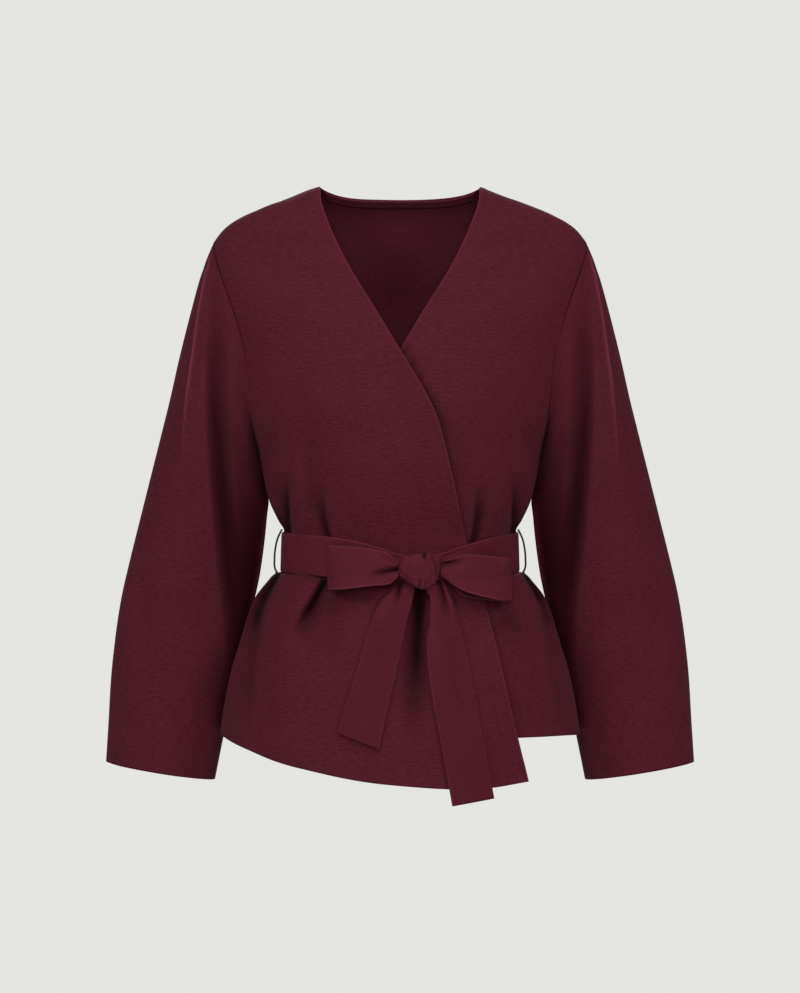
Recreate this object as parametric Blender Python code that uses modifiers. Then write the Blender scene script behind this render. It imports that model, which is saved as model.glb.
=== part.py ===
"""A crepe wrap jacket with long wide sleeves, a dipping front and its own tied belt.

The jacket is filled out as if it were worn. The origin lies midway between the two points where
the shoulder seams meet the neck, on the cloth's inner face. +Z is up and the front faces -Y, so
the wearer's right is at -X. Sizes are in metres. A place on the jacket is given by how far across
it lies (X), its height (Z) above the outer face at the neck points, and its lift, the distance
that it is moved out from the jacket's outer face.
"""
import math

import bmesh
import bpy
import numpy as np


def table(columns, rows):
    """One array for each named column of a short table."""
    values = np.array(rows, dtype=float)
    return {name: values[:, index] for index, name in enumerate(columns.split())}


# Cloth, thread and seams
WALL = 0.0015
BELT_WALL = 0.0020
FACING_WALL = 0.0010
THREAD_RADIUS = 0.0008
SEAM_GAP = 0.0003
ARMHOLE_GAP = 0.0009
ORIGIN_RAISE = WALL

# The body of the jacket, half its width and its depths before and behind the side seams
BODY = table("height half_width front_depth back_depth", [
    (0.020, 0.2260, 0.060, 0.095),
    (-0.060, 0.2200, 0.080, 0.100),
    (-0.130, 0.2050, 0.104, 0.112),
    (-0.200, 0.1845, 0.121, 0.114),
    (-0.245, 0.1745, 0.127, 0.110),
    (-0.288, 0.1570, 0.125, 0.106),
    (-0.344, 0.1440, 0.114, 0.098),
    (-0.366, 0.1340, 0.105, 0.094),
    (-0.378, 0.1275, 0.100, 0.092),
    (-0.400, 0.1281, 0.1005, 0.0925),
    (-0.424, 0.1290, 0.101, 0.093),
    (-0.434, 0.1440, 0.104, 0.096),
    (-0.455, 0.1610, 0.111, 0.104),
    (-0.497, 0.1750, 0.124, 0.117),
    (-0.551, 0.1900, 0.136, 0.132),
    (-0.600, 0.1975, 0.143, 0.140),
    (-0.670, 0.2030, 0.148, 0.146),
])
UNDERARM_HEIGHT = -0.288
BELT_TOP = -0.378
BELT_BOTTOM = -0.424
HEM_HEIGHT = -0.600

# The waist dips at the middle of the front, towards the knot
WAIST_DIP = 0.008
WAIST_HEIGHT = -0.401
WAIST_SPREAD = 0.050
WAIST_FLATNESS = 4
# Rounds that find a level from a height, or a height from a level
LEVEL_ROUNDS = 4

# The shoulder line from the middle of the neck to the tip, and how far the cloth rounds over it
SHOULDER = table("across height", [
    (0.000, 0.0090),
    (0.045, 0.0070),
    (0.088, 0.0000),
    (0.121, -0.0120),
    (0.146, -0.0210),
    (0.168, -0.0300),
    (0.190, -0.0440),
    (0.205, -0.0620),
    (0.225, -0.1000),
])
SHOULDER_ROUND = 0.110
SHOULDER_POWER = 2.2
NECK_HALF_WIDTH = 0.088
NECK_BACK_DROP = 0.0088
NECK_BACK_POWER = 4
TIP_ACROSS = 0.205
ARMHOLE_HOLLOW = 0.011

# The front edge of the right front, which lies over the left, from the neck down to the hem
FRONT_EDGE = table("height across", [
    (0.000, -0.0880),
    (-0.016, -0.0862),
    (-0.037, -0.0809),
    (-0.066, -0.0707),
    (-0.093, -0.0585),
    (-0.145, -0.0247),
    (-0.183, -0.0002),
    (-0.224, 0.0249),
    (-0.257, 0.0414),
    (-0.306, 0.0546),
    (-0.363, 0.0657),
    (-0.392, 0.0706),
    (-0.455, 0.0890),
    (-0.551, 0.1120),
    (-0.645, 0.1340),
])

# The hems, from the side seam (0) to the front edge (1)
OVER_HEM = table("run height", [
    (0.00, -0.6005),
    (0.10, -0.6035),
    (0.25, -0.6130),
    (0.45, -0.6290),
    (0.65, -0.6440),
    (0.85, -0.6500),
    (1.00, -0.6440),
])
UNDER_HEM = table("run height", [
    (0.00, -0.6020),
    (0.25, -0.5985),
    (1.00, -0.5960),
])

# The right front over the left one, and where it starts to rise off the body
WRAP_LIFT = 0.0026
WRAP_LOOSE_LIFT = 0.0042
WRAP_MARGIN = 0.045
WRAP_TOP_HEIGHT = -0.120
WRAP_FULL_HEIGHT = -0.175
EDGE_STAND = 0.0022
EDGE_STAND_HEIGHT = -0.235
EDGE_STAND_SPREAD = 0.050

# Soft folds that run up or down from the belt: reach is positive upwards
FOLDS = table("face across lean reach width depth", [
    (-1, -0.116, -0.006, 0.062, 0.011, -0.0035),
    (-1, -0.100, -0.010, 0.075, 0.012, 0.0020),
    (-1, -0.078, -0.010, 0.090, 0.014, -0.0030),
    (-1, 0.083, 0.012, 0.075, 0.013, -0.0030),
    (-1, 0.117, 0.000, 0.060, 0.011, -0.0035),
    (-1, -0.130, -0.018, -0.060, 0.013, -0.0035),
    (-1, -0.086, -0.040, -0.090, 0.016, -0.0035),
    (-1, -0.050, -0.020, -0.110, 0.020, 0.0015),
    (-1, 0.128, 0.022, -0.060, 0.013, -0.0035),
    (-1, 0.140, 0.036, -0.150, 0.018, 0.0030),
    (1, -0.110, -0.006, 0.070, 0.011, -0.0040),
    (1, -0.062, -0.004, 0.095, 0.012, -0.0045),
    (1, -0.020, 0.004, 0.070, 0.011, -0.0030),
    (1, 0.034, 0.002, 0.100, 0.012, -0.0045),
    (1, 0.086, 0.008, 0.065, 0.011, -0.0040),
    (1, -0.118, -0.030, -0.090, 0.013, -0.0045),
    (1, -0.070, -0.012, -0.130, 0.014, -0.0050),
    (1, -0.024, 0.002, -0.085, 0.012, -0.0035),
    (1, 0.030, 0.006, -0.120, 0.014, -0.0050),
    (1, 0.082, 0.020, -0.095, 0.013, -0.0045),
    (1, 0.124, 0.028, -0.070, 0.011, -0.0040),
])
FOLD_START = 0.014

# Rows of a body panel as shares of their stretch, and its columns
ARMHOLE_ROWS = 11
BODICE_SHARES = (0.30, 0.62, 0.87, 1.0)
PEPLUM_SHARES = (0.055, 0.13, 0.25, 0.41, 0.60, 0.80, 1.0)
OVER_COLUMNS = 18
UNDER_COLUMNS = 14
BACK_SHOULDER_COLUMNS = 6
BACK_NECK_COLUMNS = 10

# The sleeve's rings, from the armhole to the cuff, as seen from the front
SLEEVE = table("outer_across outer_height inner_across inner_height set_back half_depth", [
    (0.2050, -0.0620, 0.1570, -0.2880, 0.0000, 0.053),
    (0.2120, -0.0780, 0.1585, -0.2910, 0.0005, 0.053),
    (0.2200, -0.1020, 0.1572, -0.2965, 0.0010, 0.053),
    (0.2323, -0.1460, 0.1552, -0.3060, 0.0030, 0.052),
    (0.2435, -0.1900, 0.1530, -0.3170, 0.0060, 0.051),
    (0.2537, -0.2340, 0.1498, -0.3300, 0.0100, 0.050),
    (0.2650, -0.2780, 0.1482, -0.3450, 0.0140, 0.050),
    (0.2765, -0.3220, 0.1498, -0.3620, 0.0190, 0.050),
    (0.2880, -0.3665, 0.1523, -0.3850, 0.0240, 0.050),
    (0.2995, -0.4110, 0.1572, -0.4260, 0.0290, 0.049),
    (0.3098, -0.4554, 0.1655, -0.4720, 0.0330, 0.048),
    (0.3167, -0.5000, 0.1765, -0.5190, 0.0360, 0.047),
    (0.3214, -0.5445, 0.1870, -0.5650, 0.0380, 0.047),
    (0.3240, -0.5890, 0.1968, -0.6100, 0.0390, 0.046),
    (0.3270, -0.6347, 0.2058, -0.6545, 0.0400, 0.046),
])
SLEEVE_SETTLE = 6.0

# Soft folds down a sleeve: turn is in degrees from its outer edge round the front
SLEEVE_FOLDS = table("turn start end width depth", [
    (118, 1.5, 10.5, 13, -0.0060),
    (78, 2.0, 9.0, 16, 0.0030),
    (146, 3.0, 8.0, 12, 0.0025),
    (45, 7.5, 13.5, 14, -0.0035),
    (235, 2.0, 10.0, 14, -0.0055),
    (285, 3.0, 11.0, 15, -0.0040),
])

# The belt, which wraps the waist and dips to the knot
BELT_COLUMNS = 52
BELT_STAND = 0.0009
BAND = table("across top bottom", [
    (-0.130, -0.3795, -0.4230),
    (-0.080, -0.3830, -0.4262),
    (-0.056, -0.3860, -0.4280),
    (-0.021, -0.3950, -0.4300),
    (0.000, -0.4020, -0.4290),
    (0.021, -0.4050, -0.4270),
    (0.043, -0.4010, -0.4290),
    (0.064, -0.3935, -0.4280),
    (0.100, -0.3840, -0.4250),
    (0.130, -0.3795, -0.4230),
])
KNOT_CENTRE = (0.0212, -0.4190, 0.0185)
KNOT_HALF = (0.0215, 0.0190, 0.0095)
KNOT_SQUARENESS = 0.72
KNOT_LEAN = 0.22

# The bow's loops: out along the front layer, round the end and back along the one behind
BOW_LOOP_RIGHT = table("across top bottom lift", [
    (-0.0015, -0.4100, -0.4250, 0.0180),
    (-0.0120, -0.4010, -0.4305, 0.0210),
    (-0.0360, -0.3950, -0.4360, 0.0225),
    (-0.0600, -0.3935, -0.4390, 0.0205),
    (-0.0720, -0.3930, -0.4397, 0.0175),
    (-0.0765, -0.3930, -0.4400, 0.0135),
    (-0.0720, -0.3940, -0.4397, 0.0095),
    (-0.0500, -0.3960, -0.4380, 0.0079),
    (-0.0250, -0.3990, -0.4340, 0.0079),
    (-0.0050, -0.4080, -0.4260, 0.0110),
])
BOW_LOOP_LEFT = table("across top bottom lift", [
    (0.0434, -0.4110, -0.4260, 0.0180),
    (0.0540, -0.4070, -0.4330, 0.0210),
    (0.0710, -0.4020, -0.4420, 0.0235),
    (0.0950, -0.4040, -0.4485, 0.0225),
    (0.1120, -0.4060, -0.4520, 0.0210),
    (0.1210, -0.4075, -0.4530, 0.0175),
    (0.1170, -0.4080, -0.4560, 0.0125),
    (0.0950, -0.4060, -0.4560, 0.0090),
    (0.0700, -0.4080, -0.4480, 0.0079),
    (0.0480, -0.4120, -0.4270, 0.0110),
])
LOOP_STEPS = 22
LOOP_COLUMNS = 3

# The tails: the places of both long edges, from behind the knot to the free end
TAIL_RIGHT = table("left left_height right right_height", [
    (0.0060, -0.4190, 0.0200, -0.4190),
    (-0.0070, -0.4380, 0.0160, -0.4380),
    (-0.0197, -0.4510, 0.0128, -0.4530),
    (-0.0297, -0.4716, 0.0090, -0.4740),
    (-0.0434, -0.5168, 0.0000, -0.5200),
    (-0.0539, -0.5532, -0.0100, -0.5610),
    (-0.0645, -0.5892, -0.0215, -0.6050),
])
TAIL_LEFT = table("left left_height right right_height", [
    (0.0240, -0.4190, 0.0390, -0.4190),
    (0.0260, -0.4377, 0.0480, -0.4330),
    (0.0325, -0.4505, 0.0563, -0.4451),
    (0.0319, -0.4716, 0.0632, -0.4716),
    (0.0281, -0.4958, 0.0684, -0.4958),
    (0.0292, -0.5168, 0.0731, -0.5168),
    (0.0334, -0.5490, 0.0787, -0.5490),
    (0.0430, -0.6001, 0.0885, -0.5990),
    (0.0546, -0.6655, 0.0986, -0.6582),
])
TAIL_ROWS = 13
TAIL_COLUMNS = 3
TAIL_STAND = 0.0032
TAIL_KNOT_STAND = 0.0047

# The facing inside the back of the neck, and the thread loops that carry the belt
FACING_STAND = 0.0010
FACING_DEPTH = 0.0085
THREAD_LOOP = table("lift height", [
    (0.0018, -0.3700),
    (0.0045, -0.3780),
    (0.0075, -0.3900),
    (0.0088, -0.4010),
    (0.0080, -0.4130),
    (0.0064, -0.4200),
    (0.0046, -0.4258),
])

CLOTH_COLOUR = (0.070, 0.012, 0.021, 1.0)
BELT_COLOUR = (0.075, 0.013, 0.023, 1.0)
FACING_COLOUR = (0.050, 0.009, 0.016, 1.0)
THREAD_COLOUR = (0.060, 0.011, 0.018, 1.0)
CLOTH_ROUGHNESS = 0.82


def curve_through(knots, values, at):
    """A smooth curve through the values that never overshoots them (monotone cubic)."""
    if knots[0] > knots[-1]:
        knots, values = knots[::-1], values[::-1]
    step = np.diff(knots)
    slope = np.diff(values) / step
    tangent = np.zeros_like(values)
    tangent[0], tangent[-1] = slope[0], slope[-1]
    inner = slope[:-1] * slope[1:] > 0
    mean = 2 * slope[:-1] * slope[1:] / np.where(inner, slope[:-1] + slope[1:], 1)
    tangent[1:-1] = np.where(inner, mean, 0)
    at = np.asarray(at, dtype=float)
    left = np.clip(np.searchsorted(knots, at) - 1, 0, len(step) - 1)
    t = np.clip((at - knots[left]) / step[left], 0, 1)
    rise = (3 - 2 * t) * t * t
    bend = step[left] * t * (1 - t)
    return (values[left] * (1 - rise) + values[left + 1] * rise
            + bend * (tangent[left] * (1 - t) - tangent[left + 1] * t))


def smooth(share):
    """Rises softly from 0 to 1 as the share does."""
    share = np.clip(share, 0, 1)
    return share * share * (3 - 2 * share)


def half_width(height):
    return curve_through(BODY["height"], BODY["half_width"], height)


def shoulder_height(across):
    return curve_through(SHOULDER["across"], SHOULDER["height"], np.abs(across))


def dip(angle, level):
    """How far the front lies below its level at the side seam."""
    away = (level - WAIST_HEIGHT) / WAIST_SPREAD
    return WAIST_DIP * np.cos(angle) ** 2 * np.exp(-away ** WAIST_FLATNESS)


def angle_at(across, level, lift=0.0):
    """The angle round the body, from the middle of the front or back, of a place across."""
    return np.arcsin(np.clip(across / (half_width(level) + lift), -1, 1))


def body_point(face, angle, level, lift):
    """A point on the front (face -1) or back (face 1), by its level at the side seam."""
    column = "front_depth" if face < 0 else "back_depth"
    depth = curve_through(BODY["height"], BODY[column], level)
    width = half_width(level)
    below = shoulder_height(width * np.sin(angle)) - level
    up = np.clip(1 - below / SHOULDER_ROUND, 0, 1)
    rounding = (1 - up ** SHOULDER_POWER) ** (1 / SHOULDER_POWER)
    x = (width + lift) * np.sin(angle)
    y = face * (depth + lift) * np.cos(angle) * rounding
    z = level + lift * up - (dip(angle, level) if face < 0 else 0)
    return np.stack([x, y, z], axis=-1)


def on_front(across, height, lift):
    """A place on the front by its real distance across and height."""
    level = height
    for _ in range(LEVEL_ROUNDS):
        angle = angle_at(across, level, lift)
        level = height + dip(angle, level)
    return body_point(-1, angle, level, lift)


def folds(face, across, level):
    """How far the folds by the belt move the cloth out (or in, below 0)."""
    total = np.zeros_like(across)
    for index in np.flatnonzero(FOLDS["face"] == face):
        start, lean, reach, width, depth = (
            FOLDS[name][index] for name in ("across", "lean", "reach", "width", "depth"))
        edge = BELT_TOP if reach > 0 else BELT_BOTTOM
        run = (level - edge) / reach
        centre = start + lean * np.clip(run, 0, 1)
        rise = smooth(run * abs(reach) / FOLD_START) * (1 - smooth(run))
        total = total + depth * rise * np.exp(-((across - centre) / width) ** 2)
    return total


def edge_across(height):
    return curve_through(FRONT_EDGE["height"], FRONT_EDGE["across"], height)


def wrap_lift(across, height):
    """How far the over front stands off the body, and what lies on it beyond its edge."""
    edge = np.maximum(edge_across(height), 0)
    onset = smooth((across + edge + WRAP_MARGIN) / WRAP_MARGIN)
    beyond = 1 - smooth((across - edge) / WRAP_MARGIN)
    top = smooth((WRAP_TOP_HEIGHT - height) / (WRAP_TOP_HEIGHT - WRAP_FULL_HEIGHT))
    stand = EDGE_STAND * np.exp(-((height - EDGE_STAND_HEIGHT) / EDGE_STAND_SPREAD) ** 2)
    near_edge = smooth(1 - np.abs(across - edge) / WRAP_MARGIN)
    pressed = np.exp(-((height - WAIST_HEIGHT) / WAIST_SPREAD) ** WAIST_FLATNESS)
    lift = WRAP_LOOSE_LIFT + (WRAP_LIFT - WRAP_LOOSE_LIFT) * pressed
    return (lift * onset + stand * near_edge) * top * beyond


def armhole(turn, lift=0.0):
    """The armhole at +X, by turn: 0 at the shoulder tip, pi at the underarm, round the front."""
    share = (1 - np.cos(turn)) / 2
    tip_height = shoulder_height(TIP_ACROSS)
    height = tip_height + share * (UNDERARM_HEIGHT - tip_height)
    chord = TIP_ACROSS + share * (half_width(UNDERARM_HEIGHT) - TIP_ACROSS)
    across = chord - ARMHOLE_HOLLOW * np.sin(math.pi * share) ** 2
    angle = angle_at(across, height)
    front = body_point(-1, angle, height, lift)
    back = body_point(1, angle, height, lift)
    return np.where((np.sin(turn) >= 0)[..., None], front, back), angle, height


def side_edge():
    """Angles and heights of a panel's outer edge: the armhole, then the side seam."""
    turn = np.linspace(0, math.pi, ARMHOLE_ROWS + 1)
    _, angle, height = armhole(turn)
    bodice = UNDERARM_HEIGHT + (BELT_TOP - UNDERARM_HEIGHT) * np.array(BODICE_SHARES)
    peplum = BELT_BOTTOM + (HEM_HEIGHT - BELT_BOTTOM) * np.array(PEPLUM_SHARES)
    seam = np.concatenate([bodice, [BELT_BOTTOM], peplum])
    seam_angle = np.full(len(seam), math.pi / 2)
    return np.concatenate([angle, seam_angle]), np.concatenate([height, seam])


def front_edge(hem_height):
    """Angles and levels on a front edge of the rows that start at the outer edge."""
    share = (1 - np.cos(np.linspace(0, math.pi, ARMHOLE_ROWS + 1))) / 2
    bodice = UNDERARM_HEIGHT + (BELT_TOP - UNDERARM_HEIGHT) * np.array(BODICE_SHARES)
    peplum = BELT_BOTTOM + (hem_height - BELT_BOTTOM) * np.array(PEPLUM_SHARES)
    level = np.concatenate([share * UNDERARM_HEIGHT, bodice, [BELT_BOTTOM], peplum])
    height = level
    for _ in range(LEVEL_ROUNDS):
        angle = angle_at(edge_across(height), level)
        height = level - dip(angle, level)
    return np.stack([angle, level], axis=-1)


def patch(near, far, top, bottom, shares):
    """Angles and heights inside four edges, with the top and the hem faded out at the belt."""
    armhole_rows = np.arange(len(near)) / ARMHOLE_ROWS
    belt_row = ARMHOLE_ROWS + len(BODICE_SHARES) + 1
    peplum_rows = (np.arange(len(near)) - belt_row) / len(PEPLUM_SHARES)
    top_fade = np.clip(1 - armhole_rows, 0, 1)[:, None, None]
    hem_fade = smooth(peplum_rows)[:, None, None]
    across = shares[None, :, None]
    straight = near[:, None] * (1 - across) + far[:, None] * across
    top_bow = top - (top[0] * (1 - shares[:, None]) + top[-1] * shares[:, None])
    hem_bow = bottom - (bottom[0] * (1 - shares[:, None]) + bottom[-1] * shares[:, None])
    return straight + top_fade * top_bow[None] + hem_fade * hem_bow[None]


def front_grid(hem, columns, hand):
    """Angles and heights of a front, whose outer edge lies at -X for hand 1."""
    shares = np.linspace(0, 1, columns + 1)
    angle, height = side_edge()
    near = np.stack([-angle, height], axis=-1)
    near[-1, 1] = hem["height"][0]
    far = front_edge(hem["height"][-1])
    across = -TIP_ACROSS + (TIP_ACROSS - NECK_HALF_WIDTH) * shares
    ridge = shoulder_height(across)
    top = np.stack([angle_at(across, ridge), ridge], axis=-1)
    low = curve_through(hem["run"], hem["height"], shares)
    bottom = np.stack([near[-1, 0] * (1 - shares) + far[-1, 0] * shares, low], axis=-1)
    grid = patch(near, far, top, bottom, shares)
    grid[..., 0] *= hand
    return grid


def back_neck_edge():
    """Places of the back's neck edge at the back's columns, between the neck points."""
    turn = np.linspace(0, math.pi, BACK_NECK_COLUMNS + 1)[1:-1]
    across = -NECK_HALF_WIDTH * np.cos(turn)
    return across, -NECK_BACK_DROP * (1 - np.cos(turn) ** NECK_BACK_POWER)


def back_grid():
    """Angles and heights of the back, from the side seam at -X to the one at +X."""
    shoulder = np.linspace(TIP_ACROSS, NECK_HALF_WIDTH, BACK_SHOULDER_COLUMNS + 1)
    neck, neck_height = back_neck_edge()
    across = np.concatenate([-shoulder, neck, shoulder[::-1]])
    ridge = shoulder_height(shoulder)
    level = np.concatenate([ridge, neck_height, ridge[::-1]])
    top = np.stack([angle_at(across, level), level], axis=-1)
    angle, height = side_edge()
    near = np.stack([-angle, height], axis=-1)
    far = np.stack([angle, height], axis=-1)
    shares = (top[:, 0] - top[0, 0]) / (top[-1, 0] - top[0, 0])
    hem = np.stack([near[-1, 0] * (1 - shares) + far[-1, 0] * shares,
                    np.full(len(shares), HEM_HEIGHT)], axis=-1)
    return patch(near, far, top, hem, shares)


def material(name, colour):
    made = bpy.data.materials.new(name)
    made.use_nodes = True
    shader = made.node_tree.nodes["Principled BSDF"]
    shader.inputs["Base Color"].default_value = colour
    shader.inputs["Roughness"].default_value = CLOTH_ROUGHNESS
    shader.inputs["Metallic"].default_value = 0.0
    return made


def place(name, data, colour):
    """An object with its own material, raised so that the origin lies on the inner face."""
    data.materials.append(material(name, colour))
    made = bpy.data.objects.new(name, data)
    made.location.z = ORIGIN_RAISE
    jacket.objects.link(made)
    return made


def sheet(name, points, wall, offset, colour, closed=False, turned=False):
    """A cloth sheet through a grid of points; closed joins its last column to its first."""
    rows, columns = points.shape[:2]
    mesh = bpy.data.meshes.new(name)
    builder = bmesh.new()
    vertices = [[builder.verts.new(point) for point in row] for row in points]
    for row in range(rows - 1):
        for column in range(columns if closed else columns - 1):
            beside = (column + 1) % columns
            corners = [vertices[row][column], vertices[row + 1][column],
                       vertices[row + 1][beside], vertices[row][beside]]
            builder.faces.new(corners[::-1] if turned else corners)
    builder.to_mesh(mesh)
    builder.free()
    mesh.shade_smooth()
    shell = place(name, mesh, colour).modifiers.new("Wall", "SOLIDIFY")
    shell.thickness = wall
    shell.offset = offset
    shell.use_even_offset = True


def body_panel(name, face, grid, lift, turned):
    """A panel of the body, made from its inner face outwards and set back from its seams."""
    angle, height = grid[..., 0], grid[..., 1]
    across = half_width(height) * np.sin(angle)
    moved = lift(across, height) + folds(face, across, height) - WALL
    points = body_point(face, angle, height, moved)
    points[..., 1] += face * SEAM_GAP / 2
    sheet(name, points, WALL, 1.0, CLOTH_COLOUR, turned=turned)


def no_lift(across, height):
    return np.zeros_like(across)


def build_body():
    body_panel("front_right", -1, front_grid(OVER_HEM, OVER_COLUMNS, 1), wrap_lift, False)
    body_panel("front_left", -1, front_grid(UNDER_HEM, UNDER_COLUMNS, -1), no_lift, True)
    body_panel("back", 1, back_grid(), no_lift, True)


def sleeve_ring(run, turn):
    """The sleeve's plain ring at a run down the table, before the armhole's shape is added."""
    rows = np.arange(len(SLEEVE["set_back"]))
    at = {name: curve_through(rows, values, run) for name, values in SLEEVE.items()}
    cosine, sine = np.cos(turn), np.sin(turn)
    x = (at["outer_across"] * (1 + cosine) + at["inner_across"] * (1 - cosine)) / 2
    z = (at["outer_height"] * (1 + cosine) + at["inner_height"] * (1 - cosine)) / 2
    y = at["set_back"] - at["half_depth"] * sine
    return np.stack([x, y, z], axis=-1)


def sleeve_points(run, turn):
    """Points of the sleeve at +X: rings that leave the armhole's outline bit by bit."""
    seam, _, _ = armhole(turn)
    seam[..., 0] += ARMHOLE_GAP
    seam[..., 2] -= ARMHOLE_GAP * (1 + np.cos(turn)) / 2
    settle = (1 - smooth(run / SLEEVE_SETTLE))[..., None]
    points = sleeve_ring(run, turn) + settle * (seam - sleeve_ring(0 * run, turn))
    centre = (sleeve_ring(run, 0 * turn) + sleeve_ring(run, 0 * turn + math.pi)) / 2
    outward = points - centre
    outward /= np.linalg.norm(outward, axis=-1)[..., None]
    depth = np.zeros_like(run)
    for index, middle in enumerate(SLEEVE_FOLDS["turn"]):
        start, end, width, height = (
            SLEEVE_FOLDS[name][index] for name in ("start", "end", "width", "depth"))
        share = np.clip((run - start) / (end - start), 0, 1)
        away = (np.degrees(turn) - middle) / width
        depth = depth + height * np.sin(math.pi * share) ** 2 * np.exp(-away ** 2)
    return points + outward * depth[..., None]


def build_sleeves():
    rings = len(SLEEVE["set_back"])
    turns = np.linspace(0, 2 * math.pi, 2 * ARMHOLE_ROWS + 1)[:-1]
    run, turn = np.meshgrid(np.arange(rings, dtype=float), turns, indexing="ij")
    for name, hand in (("sleeve_left", 1), ("sleeve_right", -1)):
        points = sleeve_points(run, turn) * (hand, 1, 1)
        sheet(name, points, WALL, -1.0, CLOTH_COLOUR, closed=True, turned=hand > 0)


def build_band():
    """The belt round the waist, one closed strip that passes behind the knot."""
    turn = np.linspace(0, 2 * math.pi, BELT_COLUMNS + 1)[:-1]
    across = half_width(BELT_TOP) * np.sin(turn)
    top = curve_through(BAND["across"], BAND["top"], across)
    bottom = curve_through(BAND["across"], BAND["bottom"], across)
    behind = np.cos(turn) < 0
    top[behind] = np.where(across[behind] < 0, BAND["top"][0], BAND["top"][-1])
    bottom[behind] = np.where(across[behind] < 0, BAND["bottom"][0], BAND["bottom"][-1])
    middle = (top + bottom) / 2
    rise = np.where(behind, 0, wrap_lift(across, middle)) + BELT_STAND + BELT_WALL / 2
    rows = []
    angle = np.arcsin(np.sin(turn))
    for height in (top, middle, bottom):
        level = height
        for _ in range(LEVEL_ROUNDS):
            level = height + dip(angle, level)
        front = body_point(-1, angle, level, rise)
        back = body_point(1, angle, height, rise)
        rows.append(np.where(behind[:, None], back, front))
    sheet("belt_band", np.array(rows), BELT_WALL, 0.0, BELT_COLOUR, closed=True)


def build_knot():
    """A soft squarish knot, leaning to the left, in front of the band."""
    mesh = bpy.data.meshes.new("belt_knot")
    builder = bmesh.new()
    bmesh.ops.create_uvsphere(builder, u_segments=18, v_segments=12, radius=1.0)
    for vertex in builder.verts:
        squared = [math.copysign(abs(value) ** KNOT_SQUARENESS, value) for value in vertex.co]
        size = max(1.0, math.sqrt(sum(value * value for value in squared)))
        x, y, z = (value / size ** 0.5 for value in squared)
        across = KNOT_CENTRE[0] + KNOT_HALF[0] * (x - KNOT_LEAN * z)
        height = KNOT_CENTRE[1] + KNOT_HALF[1] * (z + KNOT_LEAN * x)
        lift = KNOT_CENTRE[2] - KNOT_HALF[2] * y
        vertex.co = on_front(np.array(across), np.array(height), np.array(lift))
    bmesh.ops.recalc_face_normals(builder, faces=builder.faces)
    builder.to_mesh(mesh)
    builder.free()
    mesh.shade_smooth()
    place("belt_knot", mesh, BELT_COLOUR)


def build_bow_loop(name, path):
    """A bow loop, a strip that leaves the knot, turns round at its end and comes back."""
    rows = np.arange(len(path["lift"]), dtype=float)
    run = np.linspace(0, rows[-1], LOOP_STEPS + 1)
    at = {column: curve_through(rows, values, run) for column, values in path.items()}
    points = []
    for share in np.linspace(0, 1, LOOP_COLUMNS + 1):
        height = at["top"] * (1 - share) + at["bottom"] * share
        points.append(on_front(at["across"], height, at["lift"]))
    sheet(name, np.array(points), BELT_WALL, 0.0, BELT_COLOUR)


def build_tail(name, edges):
    """A belt end that comes out behind the knot and hangs over the right front."""
    rows = np.arange(len(edges["left"]), dtype=float)
    run = np.linspace(0, rows[-1], TAIL_ROWS + 1)
    at = {column: curve_through(rows, values, run) for column, values in edges.items()}
    stand = TAIL_STAND + (TAIL_KNOT_STAND - TAIL_STAND) * (1 - smooth(run - 1))
    points = []
    for share in np.linspace(0, 1, TAIL_COLUMNS + 1):
        across = at["left"] * (1 - share) + at["right"] * share
        height = at["left_height"] * (1 - share) + at["right_height"] * share
        points.append(on_front(across, height, wrap_lift(across, height) + stand))
    sheet(name, np.array(points), BELT_WALL, 0.0, BELT_COLOUR)


def build_belt():
    build_band()
    build_knot()
    build_bow_loop("bow_loop_right", BOW_LOOP_RIGHT)
    build_bow_loop("bow_loop_left", BOW_LOOP_LEFT)
    build_tail("belt_tail_right", TAIL_RIGHT)
    build_tail("belt_tail_left", TAIL_LEFT)


def build_facing():
    """The narrow facing inside the back of the neck, just under its edge."""
    across, edge = (places[1:-1] for places in back_neck_edge())
    lift = np.full_like(across, -(WALL + FACING_STAND + FACING_WALL))
    rows = [body_point(1, angle_at(across, edge - drop), edge - drop, lift)
            for drop in (0.0, FACING_DEPTH / 2, FACING_DEPTH)]
    sheet("neck_facing", np.array(rows), FACING_WALL, 1.0, FACING_COLOUR, turned=True)


def build_thread_loops():
    """A thread carrier at each side seam, which holds the belt at the waist."""
    for name, hand in (("belt_loop_right", -1), ("belt_loop_left", 1)):
        curve = bpy.data.curves.new(name, "CURVE")
        curve.dimensions = "3D"
        curve.bevel_depth = THREAD_RADIUS
        curve.bevel_resolution = 2
        curve.use_fill_caps = True
        rows = np.arange(len(THREAD_LOOP["lift"]), dtype=float)
        run = np.linspace(0, rows[-1], 2 * len(rows))
        lift = curve_through(rows, THREAD_LOOP["lift"], run)
        height = curve_through(rows, THREAD_LOOP["height"], run)
        line = curve.splines.new("POLY")
        line.points.add(len(run) - 1)
        for point, out, level in zip(line.points, lift, height):
            point.co = (hand * (half_width(level) + out), 0, level, 1)
        place(name, curve, THREAD_COLOUR)


for leftover in list(bpy.data.objects):
    bpy.data.objects.remove(leftover, do_unlink=True)
jacket = bpy.data.collections.new("wrap_jacket")
bpy.context.scene.collection.children.link(jacket)
build_body()
build_sleeves()
build_belt()
build_facing()
build_thread_loops()
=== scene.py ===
import math

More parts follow.
